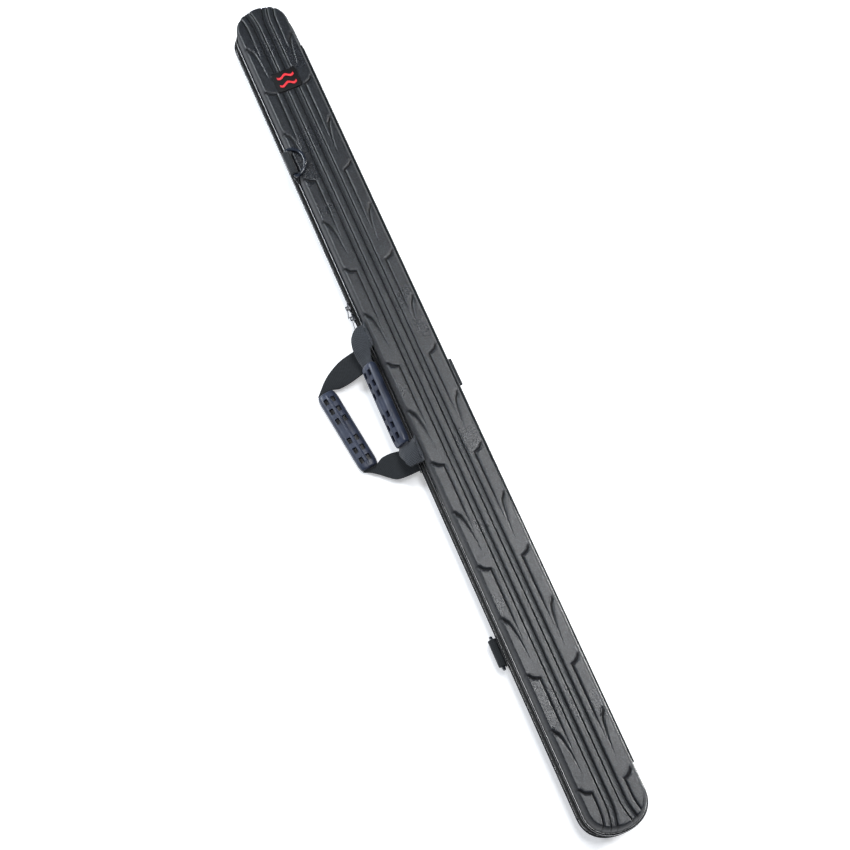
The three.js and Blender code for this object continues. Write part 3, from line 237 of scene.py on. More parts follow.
def shell_skin(name, badge=False):
    size = SHELLS[name]
    long, wide = size["long"], size["wide"]
    straight = long - END_DEPTH
    across = DRAFT + EDGE_ACROSS
    flat = wide - across
    rows = relief_rows(flat)
    stops = relief_columns()
    stops = stops[np.abs(stops) < straight - 0.5][::-1]
    # Where each row meets the rounded end
    edge_y = rows
    for _ in range(8):
        reach = np.clip(1 - np.abs(edge_y / flat) ** END_POWER, 0, 1) ** (1 / END_POWER)
        edge_x = straight + (END_DEPTH - across) * reach
        edge_y = rows + spread(edge_x, rows, flat)
    turns = np.arcsin(np.clip(signed_power(edge_y / flat, END_POWER / 2), -1, 1))
    # The flank, from the edge of the shell up to the flat face
    angles = np.radians([0, 9, 18, 27, 36, 45, 54, 63, 72, 81])
    turn = np.concatenate([[0, 0], angles])
    insets = np.concatenate([[0, DRAFT * 0.5], DRAFT + EDGE_ACROSS * (1 - np.cos(angles))])
    heights = np.concatenate([[0, (DEPTH - EDGE_UP) / 2], DEPTH - EDGE_UP + EDGE_UP * np.sin(angles)])
    arc = np.concatenate([[0], np.cumsum(np.hypot(np.diff([*insets, across]), np.diff([*heights, DEPTH])))])
    first = plan(long, wide, END_DEPTH, 0, turns, stops)
    inner = plan(long - 1, wide - 1, END_DEPTH - 1, 0, turns, stops)
    away = np.column_stack([first[0] - inner[0], first[1] - inner[1]])
    away /= np.hypot(*away.T)[:, None]
    count = len(away)
    at_end, at_side = len(rows), len(stops)
    row = np.concatenate([np.abs(rows), np.full(at_side, 99.0)] * 2)
    flank, flank_deep = [], []
    for inset, height, angle, run in zip(insets, heights, turn, arc):
        x, y = plan(long - inset, wide - inset, END_DEPTH - inset, 0, turns, stops)
        a = np.where(row < 99, 99.0, flat + arc[-1] - run)
        deep = tread(x, row, a, flat) * (1 if height > 30 else np.clip((height - 6) / 24, 0, 1))
        out, rise = math.cos(angle) / EDGE_ACROSS, math.sin(angle) / EDGE_UP
        out, rise = out / math.hypot(out, rise), rise / math.hypot(out, rise)
        flank.append(np.column_stack([x - away[:, 0] * out * deep, y - away[:, 1] * out * deep,
                                      height - rise * deep]))
        flank_deep.append(deep)
    # The flat face, row by row from the hinge side, each row from the end at +X
    inward = (edge_x[:, None] - straight) * np.arange(CAP_COLUMNS, 0, -1) / CAP_COLUMNS
    x = np.hstack([straight + inward, np.tile(stops, (at_end, 1)), -straight - inward[:, ::-1]])
    face_row = np.abs(rows)[:, None] + 0 * x
    deep = tread(x.ravel(), face_row.ravel(), face_row.ravel(), flat).reshape(x.shape)
    if badge:
        middle, half_long, half_wide, floor = BADGE
        out = np.hypot(np.maximum(np.abs(x - middle) - half_long + BADGE_CORNER, 0),
                       np.maximum(face_row - half_wide + BADGE_CORNER, 0))
        inside = (np.abs(x - middle) < half_long + 0.05) & (face_row < half_wide + 0.05)
        deep = np.where(inside & (out < BADGE_CORNER + 0.05), floor, deep)
    y = rows[:, None] + spread(x, rows[:, None], flat)
    face = np.column_stack([x.ravel(), y.ravel(), DEPTH - deep.ravel()])
    index = np.arange(x.size).reshape(x.shape) + count * len(flank)
    for side in (0, -1):
        index[side, :CAP_COLUMNS] = index[side, 0]
        index[side, -CAP_COLUMNS:] = index[side, -1]
    # The lining side of the sheet
    wall = []
    inside_steps = [(SHEET, 0), (SHEET + DRAFT, 20), (SHEET + 2.6, 27), (SHEET + 6.2, DEPTH - SHEET),
                    (SHEET + 25, DEPTH - SHEET)]
    for inset, height in inside_steps:
        px, py = plan(long - inset, wide - inset, END_DEPTH - inset, 0, turns, stops)
        wall.append(np.column_stack([px, py, np.full(count, height)]))
    vertices = np.concatenate([*flank, face, *wall])
    faces = grid_faces(len(flank), count)
    middle = slice(CAP_COLUMNS, CAP_COLUMNS + at_side)
    border = [*index[:, 0], *index[-1, middle], *index[::-1, -1], *index[0, middle][::-1]]
    last = count * (len(flank) - 1)
    faces += [(last + c, last + (c + 1) % count, border[(c + 1) % count], border[c]) for c in range(count)]
    corners = np.stack([index[:-1, :-1], index[:-1, 1:], index[1:, 1:], index[1:, :-1]], axis=-1)
    quads = [tuple(dict.fromkeys(quad)) for quad in corners.reshape(-1, 4).tolist()]
    faces += [quad for quad in quads if len(quad) > 2]
    base = count * len(flank) + x.size
    faces += [tuple(base + i for i in quad) for quad in grid_faces(len(wall), count)]
    faces += [(c, (c + 1) % count, base + (c + 1) % count, base + c) for c in range(count)]
    faces += strip_cap(base + (len(wall) - 1) * count, at_end, at_side)
    vertices[:, 1] += size["shift"]
    vertices[:, 2] = size["edge"] + size["up"] * vertices[:, 2]
    obj = new_object(f"{name}_shell_skin", vertices, faces, 48)
    # Depth under the surface at each point, which the material turns into painted shade in the grooves.
    mark_hollow(obj, np.concatenate([*flank_deep, deep.ravel(), np.zeros(count * len(wall))]))
    drop_loose(obj)
    return obj


def drop_loose(obj):
    """Removes the points that no face uses."""
    bm = bmesh.new()
    bm.from_mesh(obj.data)
    bmesh.ops.delete(bm, geom=[v for v in bm.verts if not v.link_faces], context="VERTS")
    bm.to_mesh(obj.data)
    bm.free()


def strip_cap(first, cap, stops):
    """Closes a ring across the case: a face at each end, and strips between."""
    right = [first + i for i in range(cap)]
    front = [right[-1]] + [first + cap + i for i in range(stops)]
    left = [first + cap + stops + i for i in range(cap)]
    front.append(left[0])
    back = [left[-1]] + [first + 2 * cap + stops + i for i in range(stops)] + [right[0]]
    back = back[::-1]
    strips = [(front[i], front[i + 1], back[i + 1], back[i]) for i in range(len(front) - 1)]
    return [tuple(right), tuple(left)] + strips


def linear(code):
    """An sRGB hex colour as linear values."""
    parts = [int(code[i:i + 2], 16) / 255 for i in (1, 3, 5)]
    return [p / 12.92 if p <= 0.04045 else ((p + 0.055) / 1.055) ** 2.4 for p in parts] + [1]


def feed(node, **inputs):
    """Gives a node's inputs a value each, or a link from another node's socket. A node stands for its first
    socket. An input's name is written with underscores, or as in_ and its number."""
    for key, value in inputs.items():
        socket = node.inputs[int(key[3:])] if key.startswith("in_") else node.inputs[key.replace("_", " ")]
        if isinstance(value, bpy.types.Node):
            value = value.outputs[0]
        if isinstance(value, bpy.types.NodeSocket):
            node.id_data.links.new(value, socket)
        else:
            socket.default_value = value


def add_node(tree, kind, settings=None, stops=(), **inputs):
    """Adds a node with its own settings, its inputs and, for a colour ramp, its (place, hex colour) stops."""
    node = tree.nodes.new(f"ShaderNode{kind}")
    for key, value in (settings or {}).items():
        setattr(node, key, value)
    if stops:
        elements = node.color_ramp.elements
        while len(elements) < len(stops):
            elements.new(0.5)
        for element, (place, code) in zip(elements, stops):
            element.position = place
            element.color = linear(code)
    feed(node, **inputs)
    return node


def new_material(name, **surface):
    """A material, its nodes, its shader, and the place on the piece in millimetres for its patterns."""
    material = bpy.data.materials.new(name)
    material.use_nodes = True
    tree = material.node_tree
    tree.nodes.clear()
    shader = add_node(tree, "BsdfPrincipled", **surface)
    add_node(tree, "OutputMaterial", Surface=shader)
    where = add_node(tree, "TexCoord").outputs["Object"]
    place = add_node(tree, "VectorMath", {"operation": "SCALE"}, in_0=where, Scale=1 / MM)
    return material, tree, shader, place


def finish_piece(obj, material, slot, body, *nodes):
    """Gives a piece its material and the body it rides on, and hides the solids that it stands for. The
    slot is not used."""
    obj.data.materials.clear()
    obj.data.materials.append(material)
    if nodes:
        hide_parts(*nodes)
    if body:
        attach(obj, body)
    return obj


# ABS, vacuum formed with a pebbled tool: a satin charcoal with a fine grain, and painted shade that turns the
# deep parts of the grooves near black. The real grain is about 0.9 mm, and is drawn at 1.6 mm so that it
# shows.
abs_sheet, tree, shader, place = new_material("abs_formed_grained", Roughness=0.5, IOR=1.53)
grain = add_node(tree, "TexNoise", Vector=place, Scale=0.62, Detail=4.0, Roughness=0.66)
patches = add_node(tree, "TexNoise", Vector=place, Scale=0.012, Detail=4.0)
hollow = add_node(tree, "Attribute", {"attribute_name": "hollow"}).outputs["Fac"]
sunk = add_node(tree, "MapRange", Value=hollow, From_Min=1.05, From_Max=2.2)
shades = [(0.32, "#0b0d0f"), (0.5, "#191b1f"), (0.68, "#31363c")]
speckle = add_node(tree, "ValToRGB", stops=shades, Fac=grain)
# Painted shade: points more than 1.05 mm under the surface darken towards #050607, fully at 2.2 mm.
colour = add_node(tree, "Mix", {"data_type": "RGBA"}, Factor=sunk, in_6=speckle, in_7=linear("#050607"))
uneven = add_node(tree, "MapRange", Value=patches, From_Min=0.3, From_Max=0.7, To_Min=0.26, To_Max=0.32)
# The sheet stretches down the sides of the tool and into the grooves, and is duller there.
facing = add_node(tree, "SeparateXYZ", Vector=add_node(tree, "TexCoord").outputs["Normal"])
upward = add_node(tree, "Math", {"operation": "ABSOLUTE"}, in_0=facing.outputs["Z"])
steep = add_node(tree, "MapRange", Value=upward, From_Min=0.84, From_Max=0.5, To_Max=0.42)
pressed = add_node(tree, "Math", {"operation": "MULTIPLY"}, in_0=sunk, in_1=0.4)
duller = add_node(tree, "Math", {"operation": "MAXIMUM"}, in_0=steep, in_1=pressed)
satin = add_node(tree, "Math", {"operation": "ADD"}, in_0=uneven, in_1=duller)
raised = add_node(tree, "Bump", Height=grain, Distance=0.42 * MM)
feed(shader, Base_Color=colour.outputs[2], Roughness=satin, Normal=raised)

for half in SHELLS:
    finish_piece(shell_skin(half, badge=half == "lid"), abs_sheet, "shell", half, f"{half}_shell")

# Rim beads: a glossy PVC moulding pushed over the trimmed edge of each shell, which guards the edge and
# frames the zip. One closed ring on each half.
CLEAR = 0.3  # between pieces that are pushed together
BEAD = 2.6  # how far it stands out
# Its section: out from the edge of the shell, and up from it towards the flat face.
BEAD_SECTION = [(CLEAR, 0.0), (CLEAR, -0.6), (1.6, -0.6), (2.1, -0.4), (2.42, -0.05), (2.57, 0.5),
                (BEAD, 1.2), (BEAD, 3.3), (2.52, 4.1), (2.3, 4.6), (1.95, 4.9), (1.5, 5.0), (CLEAR, 5.0)]


def ring_piece(name, section, smooth, back_end=None):
    """A moulding of any section round the case: section holds (long, wide, end, shift, z) for each corner.
    With a back_end it is open, and stops at the back that far from the middle."""
    stops = (300.0, 0.0, -300.0)
    columns = []
    for long, wide, end, shift, z in section:
        x, y = plan(long, wide, end, shift, cap_turns(56), stops)
        if back_end:
            front = len(x) - len(stops)
            x = np.concatenate([[back_end], x[:front], [-back_end]])
            y = np.concatenate([[shift + wide], y[:front], [shift + wide]])
        columns.append(np.column_stack([x, y, np.full(len(x), z)]))
    corners, count = len(columns), len(columns[0])
    faces = []
    for c in range(corners):
        d = (c + 1) % corners
        for i in range(count - 1 if back_end else count):
            j = (i + 1) % count
            faces.append((c * count + i, c * count + j, d * count + j, d * count + i))
    if back_end:
        faces += [tuple(c * count + i for c in range(corners)) for i in (0, count - 1)]
    return new_object(name, np.concatenate(columns), faces, smooth)


def off_shell(size, out, z):
    """A corner of a section, at height z and out from the edge of a shell."""
    return (size["long"] + out, size["wide"] + out, END_DEPTH + out, size["shift"], z)


# PVC moulding, extruded and polished: nearly black, with long clean highlights and a few fine rub marks.
pvc, tree, shader, place = new_material("pvc_bead_polished", Roughness=0.16, IOR=1.54, Coat_Weight=1.0,
                                        Coat_Roughness=0.08)
stretched = add_node(tree, "Mapping", Vector=place, Scale=(0.02, 0.4, 0.4))
rubs = add_node(tree, "TexNoise", Vector=stretched, Scale=1.0, Detail=5.0)
feed(shader, Base_Color=add_node(tree, "ValToRGB", stops=[(0.35, "#060709"), (0.7, "#0e1013")], Fac=rubs),
     Roughness=add_node(tree, "MapRange", Value=rubs, From_Min=0.35, From_Max=0.75, To_Min=0.1, To_Max=0.22))

for half, size in SHELLS.items():
    section = [off_shell(size, out, size["edge"] + size["up"] * height) for out, height in BEAD_SECTION]
    finish_piece(ring_piece(f"{half}_rim_bead", section, 50), pvc, "rim", half, f"{half}_rim")

# Zip: two woven polyester tapes glued inside the shells, a row of moulded acetal teeth on each, and a stop
# at each end. The teeth of the two rows stand between each other.
PARTING = 40.0  # height at which the two rows meet
TEETH = {"long": 624.0, "wide": 44.9, "end": END_DEPTH + BEAD, "shift": 0.8}  # their outer face, as in SHELLS
TEETH_DEPTH = 3.0
TEETH_TALL = 2.7
TOOTH_PITCH = 2.5
BACK_END = 560.0  # the zip ends at the back, this far from the middle
# A tooth in plan, along the zip and out from the tape.
TOOTH = [(-0.55, -1.45), (0.55, -1.45), (0.8, -0.4), (0.8, 0.6), (0.5, 1.25), (-0.5, 1.25), (-0.8, 0.6),
         (-0.8, -0.4)]


def run_of(line):
    """Distance along a line to each of its points."""
    return np.concatenate([[0], np.cumsum(np.linalg.norm(np.diff(line, axis=0), axis=1))])


def points_at(line, run, at):
    """Points of a line at these distances along it."""
    return np.column_stack([np.interp(at, run, values) for values in line.T])


def unit(vectors):
    """The same directions, each one long."""
    return vectors / np.linalg.norm(vectors, axis=1)[:, None]


def closed_faces(rows, columns, first=0):
    """Faces of a stack of rings that starts at point first, with both ends closed."""
    ends = [tuple(range(columns)), tuple((rows - 1) * columns + i for i in range(columns))]
    return [tuple(first + i for i in face) for face in grid_faces(rows, columns) + ends]


def teeth_piece(half, up):
    inward = TEETH_DEPTH / 2
    x, y = plan(TEETH["long"] - inward, TEETH["wide"] - inward, TEETH["end"] - inward, TEETH["shift"],
                cap_turns(60))
    back = TEETH["shift"] + TEETH["wide"] - inward
    line = np.array([(BACK_END, back), *zip(x, y), (-BACK_END, back)])
    run = run_of(line)
    at = np.arange(1.0 + (TOOTH_PITCH / 2 if up < 0 else 0), run[-1], TOOTH_PITCH)
    along = unit(points_at(line, run, at + 0.3) - points_at(line, run, at - 0.3))
    near = PARTING + up * CLEAR / 2
    far = PARTING + up * (CLEAR / 2 + TEETH_TALL)
    layers = [(near, 0.82), (near + up * 0.5, 1.0), (far - up * 0.5, 1.0), (far, 0.8)]
    vertices, faces = [], []
    for (px, py), (ax, ay) in zip(points_at(line, run, at), along):
        faces += closed_faces(len(layers), len(TOOTH), len(vertices))
        for z, share in layers:
            for u, v in TOOTH:
                u, v = u * share, v * share
                vertices.append((px + ax * u - ay * v, py + ay * u + ax * v, z))
    return new_object(f"{half}_zip_teeth_row", vertices, faces, 40)


def shade(tree, shader, pattern, stops, height):
    """Colours a surface by a pattern, and raises it by height millimetres."""
    feed(shader, Base_Color=add_node(tree, "ValToRGB", stops=stops, Fac=pattern),
         Normal=add_node(tree, "Bump", Height=pattern, Distance=height * MM))


def mottled(name, scale, detail, stops, height, worn=None, **surface):
    """A material with one mottle, scale patches to the millimetre. Where it wears, its roughness goes from
    the first to the second value of worn."""
    material, tree, shader, place = new_material(name, **surface)
    mottle = add_node(tree, "TexNoise", Vector=place, Scale=scale, Detail=detail)
    shade(tree, shader, mottle, stops, height)
    if worn:
        rough, smooth = worn
        feed(shader, Roughness=add_node(tree, "MapRange", Value=mottle, From_Min=0.3, From_Max=0.7,
                                        To_Min=rough, To_Max=smooth))
    return material


# Acetal, injection moulded on the tape: hard and slightly waxy, a soft highlight on each tooth.
acetal = mottled("acetal_moulded", 0.5, 2.0, [(0.3, "#08090b"), (0.7, "#121316")], 0.05, Roughness=0.5,
                 IOR=1.48)


def weave(tree, across, along, period_across, period_along):
    """Height of a plain weave from two socket values in millimetres: two sets of ribs that go over and
    under each other."""
    waves = []
    for value, period in ((across, period_across), (along, period_along)):
        turn = add_node(tree, "Math", {"operation": "MULTIPLY"}, in_0=value, in_1=math.pi / period)
        waves.append(add_node(tree, "Math", {"operation": "SINE"}, in_0=turn))
    both = add_node(tree, "Math", {"operation": "MULTIPLY"}, in_0=waves[0], in_1=waves[1])
    return add_node(tree, "Math", {"operation": "MULTIPLY_ADD"}, in_0=both, in_1=0.5, in_2=0.5)


# Polyester tape, woven fine: matt, with a thread every 0.7 mm.
tape_cloth, tree, shader, place = new_material("polyester_tape_woven", Roughness=0.92, IOR=1.45,
                                               Sheen_Weight=0.25, Sheen_Roughness=0.5)
axes = add_node(tree, "SeparateXYZ", Vector=place)
sideways = add_node(tree, "Math", {"operation": "ADD"}, in_0=axes.outputs["Y"], in_1=axes.outputs["Z"])
threads = weave(tree, axes.outputs["X"], sideways, 0.7, 0.7)
shade(tree, shader, threads, [(0.2, "#08090a"), (0.8, "#141518")], 0.12)

for half, size in SHELLS.items():
    up = size["up"]
    finish_piece(teeth_piece(half, up), acetal, "zip_teeth", half, f"{half}_zip_teeth")
    # From the teeth the tape goes level to the shell, and turns in along its wall
    in_teeth = (TEETH["long"] - TEETH_DEPTH - 0.05, TEETH["wide"] - TEETH_DEPTH - 0.05,
                TEETH["end"] - TEETH_DEPTH, TEETH["shift"])
    leg = PARTING + up * (CLEAR / 2 + 0.9)
    glued = size["edge"] + up * 6
    section = [(*in_teeth, leg), (*in_teeth, leg + up)]
    for off, z in ((0.3, leg + up), (1.26, glued), (2.26, glued), (1.3, leg)):
        section.append(off_shell(size, -SHEET - off, z))
    tape = ring_piece(f"{half}_zip_tape_woven", section, 35, BACK_END)
    finish_piece(tape, tape_cloth, "zip_tape", half, f"{half}_zip_tape")

# Zip sliders, pulls and stops: zinc die castings in a dark nickel finish. The pull is a stamped frame that
# hangs on the slider's bridge.


def rounded_copy(node, name, radius, segments=2, split=35):
    """A new piece with a node's shape and its edges rounded by radius millimetres."""
    obj = bpy.data.objects.new(name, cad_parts[node].data.copy())
    bpy.context.scene.collection.objects.link(obj)
    obj.matrix_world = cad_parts[node].matrix_world
    bm = bmesh.new()
    bm.from_mesh(obj.data)
    bmesh.ops.remove_doubles(bm, verts=bm.verts, dist=1e-6)
    bmesh.ops.dissolve_limit(bm, angle_limit=math.radians(2), verts=bm.verts, edges=bm.edges)
    sharp = [e for e in bm.edges if len(e.link_faces) == 2 and e.calc_face_angle(0) > math.radians(split)]
    bmesh.ops.bevel(bm, geom=sharp, offset=radius * MM, segments=segments, affect="EDGES", profile=0.5)
    bm.to_mesh(obj.data)
    bm.free()
    obj.data.shade_smooth()
    obj.data.set_sharp_from_angle(angle=math.radians(40))
    return obj


# Zinc, die cast and dark nickel plated: a warm grey metal, brighter and smoother where it rubs.
zinc = mottled("zinc_dark_nickel", 0.35, 4.0, [(0.3, "#3c3d40"), (0.62, "#5c5d61"), (0.8, "#8b8c90")], 0.03,
               worn=(0.42, 0.24), Metallic=1.0, Roughness=0.3)

for side in ("left", "right"):
    castings = {"slider": (0.45, f"slider_{side}"), "pull": (0.22, f"pull_{side}"), "stop": (0.4, "base")}
    for kind, (radius, body) in castings.items():
        node = f"zip_{kind}_{side}"
        finish_piece(rounded_copy(node, f"{node}_cast", radius), zinc, "zip_metal", body, node)

# Linings: brushed knit on thin foam, heat formed and glued into each shell. The lining follows the shoulder
# of the shell and lies flat inside its face, and its edge is turned in.
LINING = 1.5
LINING_OFF = 2.3  # room for the zip's tape between the sheet and the lining


def lining_piece(half):
    size = SHELLS[half]
    turns = cap_turns(40)
    stops = np.arange(580, -581, -10.0)

    def layer(off, thinner, low):
        rings = [(off, low)]
        for angle in np.radians([0, 18, 36, 54, 72, 90]):
            rings.append((off + DRAFT + EDGE_ACROSS * (1 - math.cos(angle)),
                          DEPTH - EDGE_UP + (EDGE_UP - thinner) * math.sin(angle)))
        rings.append((off + DRAFT + EDGE_ACROSS + 14, DEPTH - thinner))
        return rings

    outer = layer(SHEET + LINING_OFF, SHEET + CLEAR, 1.0)
    inner = layer(SHEET + LINING_OFF + LINING, SHEET + CLEAR + LINING, 1.3)
    lip = [(SHEET + LINING_OFF + 0.4, 0.7), (SHEET + LINING_OFF + LINING - 0.4, 0.75)]
    rings = outer[::-1] + lip + inner
    points = []
    for inset, height in rings:
        long, wide, end, shift, _ = off_shell(size, -inset, 0)
        x, y = plan(long, wide, end, shift, turns, stops)
        points.append(np.column_stack([x, y, np.full(len(x), size["edge"] + size["up"] * height)]))
    count = len(points[0])
    faces = grid_faces(len(points), count)
    for ring in (0, len(points) - 1):
        faces += strip_cap(ring * count, len(turns), len(stops))
    return new_object(f"{half}_lining_knit", np.concatenate(points), faces, 50)


# Brushed polyester knit over foam: soft, dusty grey, with a short nap that catches light at the edges.
knit, tree, shader, place = new_material("polyester_knit_brushed", Roughness=0.95, IOR=1.4, Sheen_Weight=0.6,
                                         Sheen_Roughness=0.4)
nap = add_node(tree, "TexNoise", Vector=place, Scale=1.1, Detail=4.0, Roughness=0.7)
tufts = add_node(tree, "TexNoise", Vector=place, Scale=0.08, Detail=2.0)
mixed = add_node(tree, "Math", {"operation": "MULTIPLY_ADD"}, in_0=tufts, in_1=0.35, in_2=nap)
shade(tree, shader, mixed, [(0.45, "#202226"), (0.85, "#3b3f45")], 0.4)

for half, wide in (("base", 0.124), ("lid", 0.1165)):
    liner = finish_piece(lining_piece(half), knit, "lining", half, f"{half}_lining")

# Foam rests and pads: closed-cell foam, cut from sheet and glued to the lining. Three notches in each rest
# hold the rod sections, and the lid's pads press them down.

# Closed-cell polyethylene foam, knife cut: matt charcoal with cells of about 1 mm.
foam, tree, shader, place = new_material("polyethylene_foam_cut", Roughness=0.9, IOR=1.4, Sheen_Weight=0.15)
cells = add_node(tree, "TexVoronoi", Vector=place, Scale=0.9, Randomness=1.0)
shade(tree, shader, cells, [(0.05, "#1d1f22"), (0.5, "#33363b"), (0.9, "#41454b")], 0.25)

for number in (1, 2, 3):
    for kind, half, radius in (("rod_rest", "base", 1.6), ("lid_pad", "lid", 2.4)):
        block = rounded_copy(f"{kind}_{number}", f"{kind}_foam_{number}", radius, 3, 38)
        finish_piece(block, foam, "foam", half, f"{kind}_{number}")

# Retaining straps: 25 mm nylon webbing over the rods, stitched to the lining at the back and held at the
# front on a hook patch that is stitched to the lining.
RETAINER_HALF = 12.5
RETAINER_THICK = 1.4


def rail(points, steps):
    """A smooth line through points, at even steps."""
    points = np.array(points, float)
    padded = np.vstack([2 * points[0] - points[1], points, 2 * points[-1] - points[-2]])
    fine = []
    for i in range(1, len(padded) - 2):
        p0, p1, p2, p3 = padded[i - 1:i + 3]
        for t in np.linspace(0, 1, 24, endpoint=False):
            fine.append(0.5 * (2 * p1 + (p2 - p0) * t + (2 * p0 - 5 * p1 + 4 * p2 - p3) * t ** 2
                               + (3 * p1 - p0 - 3 * p2 + p3) * t ** 3))
    fine = np.vstack([fine, points[-1]])
    run = run_of(fine)
    return points_at(fine, run, np.linspace(0, run[-1], steps + 1))


# Section of webbing with rounded edges, in half widths and in thicknesses.
WEB_SECTION = [(-1, -0.2), (-0.985, -0.42), (-0.95, -0.5), (-0.5, -0.5), (0, -0.5), (0.5, -0.5), (0.95, -0.5),
               (0.985, -0.42), (1, -0.2)]
WEB_SECTION += [(-u, -v) for u, v in WEB_SECTION]


def webbing_map(obj, across, along):
    """A UV map in millimetres, from each point's place across and along the webbing."""
    layer = obj.data.uv_layers.new(name="webbing_mm")
    index = np.zeros(len(obj.data.loops), int)
    obj.data.loops.foreach_get("vertex_index", index)
    layer.data.foreach_set("uv", np.column_stack([across[index], along[index]]).astype(np.float32).ravel())


def webbing(name, edge_a, edge_b, thick):
    """A length of webbing between two edges, each an array of points, with woven-in edges."""
    edge_a, edge_b = np.array(edge_a, float), np.array(edge_b, float)
    middle = (edge_a + edge_b) / 2
    wide = edge_b - edge_a
    normals = unit(np.cross(np.gradient(middle, axis=0), wide))
    vertices = []
    for point, side, normal in zip(middle, wide, normals):
        vertices += [point + side * u / 2 + normal * v * thick for u, v in WEB_SECTION]
    count = len(WEB_SECTION)
    obj = new_object(name, vertices, closed_faces(len(middle), count), 45)
    across = np.array([u for u, _ in WEB_SECTION]) * np.linalg.norm(wide, axis=1)[:, None] / 2
    webbing_map(obj, across.ravel(), np.repeat(run_of(middle), count))
    return obj


def web_material(name, dark, light, rough):
    """Nylon webbing, shuttle woven: ribs of threads that show as fine checks, with a dull sheen on their
    crowns. They are drawn 1.8 mm apart across it and 1.25 mm along it, as coarse as they need to show."""
    material, tree, shader, place = new_material(name, Roughness=rough, IOR=1.46, Sheen_Weight=0.3,
                                                 Sheen_Roughness=0.4)
    axes = add_node(tree, "SeparateXYZ", Vector=add_node(tree, "UVMap", {"uv_map": "webbing_mm"}))
    threads = weave(tree, axes.outputs["X"], axes.outputs["Y"], 1.8, 1.25)
    fluff = add_node(tree, "TexNoise", Vector=place, Scale=0.25, Detail=5.0)
    tone = add_node(tree, "Math", {"operation": "MULTIPLY_ADD"}, in_0=fluff, in_1=0.5, in_2=threads)
    feed(shader, Base_Color=add_node(tree, "ValToRGB", stops=[(0.3, dark), (1.0, light)], Fac=tone),
         Normal=add_node(tree, "Bump", Height=threads, Distance=0.28 * MM))
    return material


web_black = web_material("nylon_webbing_black", "#0f1113", "#24282c", 0.85)
web_grey = web_material("nylon_webbing_grey", "#1e2024", "#3c4046", 0.8)

# Polyester thread, three-ply and bonded: a little lighter than the webbing it holds.
thread = mottled("polyester_thread_bonded", 1.6, 2.0, [(0.3, "#1a1c20"), (0.7, "#34373d")], 0.1,
                 Roughness=0.6, IOR=1.46, Sheen_Weight=0.2)


def seam(name, body, path, length=2.6, space=1.0, size=0.42):
    """A line of lock stitches on a back wall: short rounded threads along path, sunk into the webbing at
    their ends."""
    path = np.array(path, float)
    run = run_of(path)
    normal = np.array([0.0, 1.0, 0.0])
    vertices, faces = [], []
    at = space / 2
    while at + length < run[-1]:
        faces += closed_faces(4, 6, len(vertices))
        a, b = points_at(path, run, [at, at + length])
        side = np.cross((b - a) / np.linalg.norm(b - a), normal)
        for share, lift, fat in ((0, -0.25, 0.35), (0.2, 0.25, 1), (0.8, 0.25, 1), (1, -0.25, 0.35)):
            centre = a + (b - a) * share + normal * lift * size
            for turn in (k * math.pi / 3 for k in range(6)):
                vertices.append(centre + (side * math.cos(turn) + normal * math.sin(turn)) * size * fat)
        at += length + space
    finish_piece(new_object(name, vertices, faces, 60), thread, "webbing", body)


for number, x in ((1, -210.0), (2, 210.0)):
    low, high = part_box(f"retainer_strap_{number}")
    front, back = low[1] / MM, high[1] / MM
    line = rail([(x, front + 0.75, 22.2), (x, front + 0.8, 30), (x, front + 3.5, 34.6), (x, front + 8, 36.2),
                 (x, -12, 36.3), (x, 12, 36.3), (x, back - 8, 36.2), (x, back - 3.5, 34.6),
                 (x, back - 0.8, 30), (x, back - 0.75, 22.2)], 72)
    to_edge = np.array([RETAINER_HALF, 0, 0])
    strap = webbing(f"retainer_webbing_{number}", line - to_edge, line + to_edge, RETAINER_THICK)
    finish_piece(strap, web_black, "webbing", "base", f"retainer_strap_{number}")
    node = f"retainer_patch_{number}"
    finish_piece(rounded_copy(node, f"{node}_hooks", 0.3), tape_cloth, "lining", "base", node)

# Hinge: one band of heavy nylon webbing glued and stitched over the two rims along the back. It bends in
# the gap between them.
BAND_HALF = 553.0
BAND = 1.2
# From the base up to the lid: how far behind the middle of the case, and how high.
BAND_PATH = [(47.2, 30.2), (47.2, 34), (47.2, 37.4), (46.9, 39.6), (46.0, 41.8), (45.2, 43.6), (45.0, 45.5),
             (45.0, 49.8)]
SEAMS = {"base": (47.85, 32.4), "lid": (45.65, 47.6)}
band_line = rail([(0, y, z) for y, z in BAND_PATH], 40)
up_band = np.gradient(band_line, axis=0)
outward = unit(np.column_stack([np.zeros(len(up_band)), up_band[:, 2], -up_band[:, 1]]))
band_ring = [*(band_line + outward * BAND / 2), *(band_line - outward * BAND / 2)[::-1]]
columns = np.linspace(-BAND_HALF, BAND_HALF, 93)
vertices = [(x, y, z) for x in columns for _, y, z in band_ring]
count = len(band_ring)
band = new_object("hinge_band_webbing", vertices, closed_faces(len(columns), count), 50)
webbing_map(band, np.tile(np.arange(count) * 0.5, len(columns)), np.repeat(columns, count))
finish_piece(band, web_black, "webbing", None, "hinge_band_base", "hinge_band_lid")
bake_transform(band)
for half, (y, z) in SEAMS.items():
    seam(f"hinge_seam_{half}", half, [(-BAND_HALF + 4, y, z), (BAND_HALF - 4, y, z)], 3.2, 1.3)

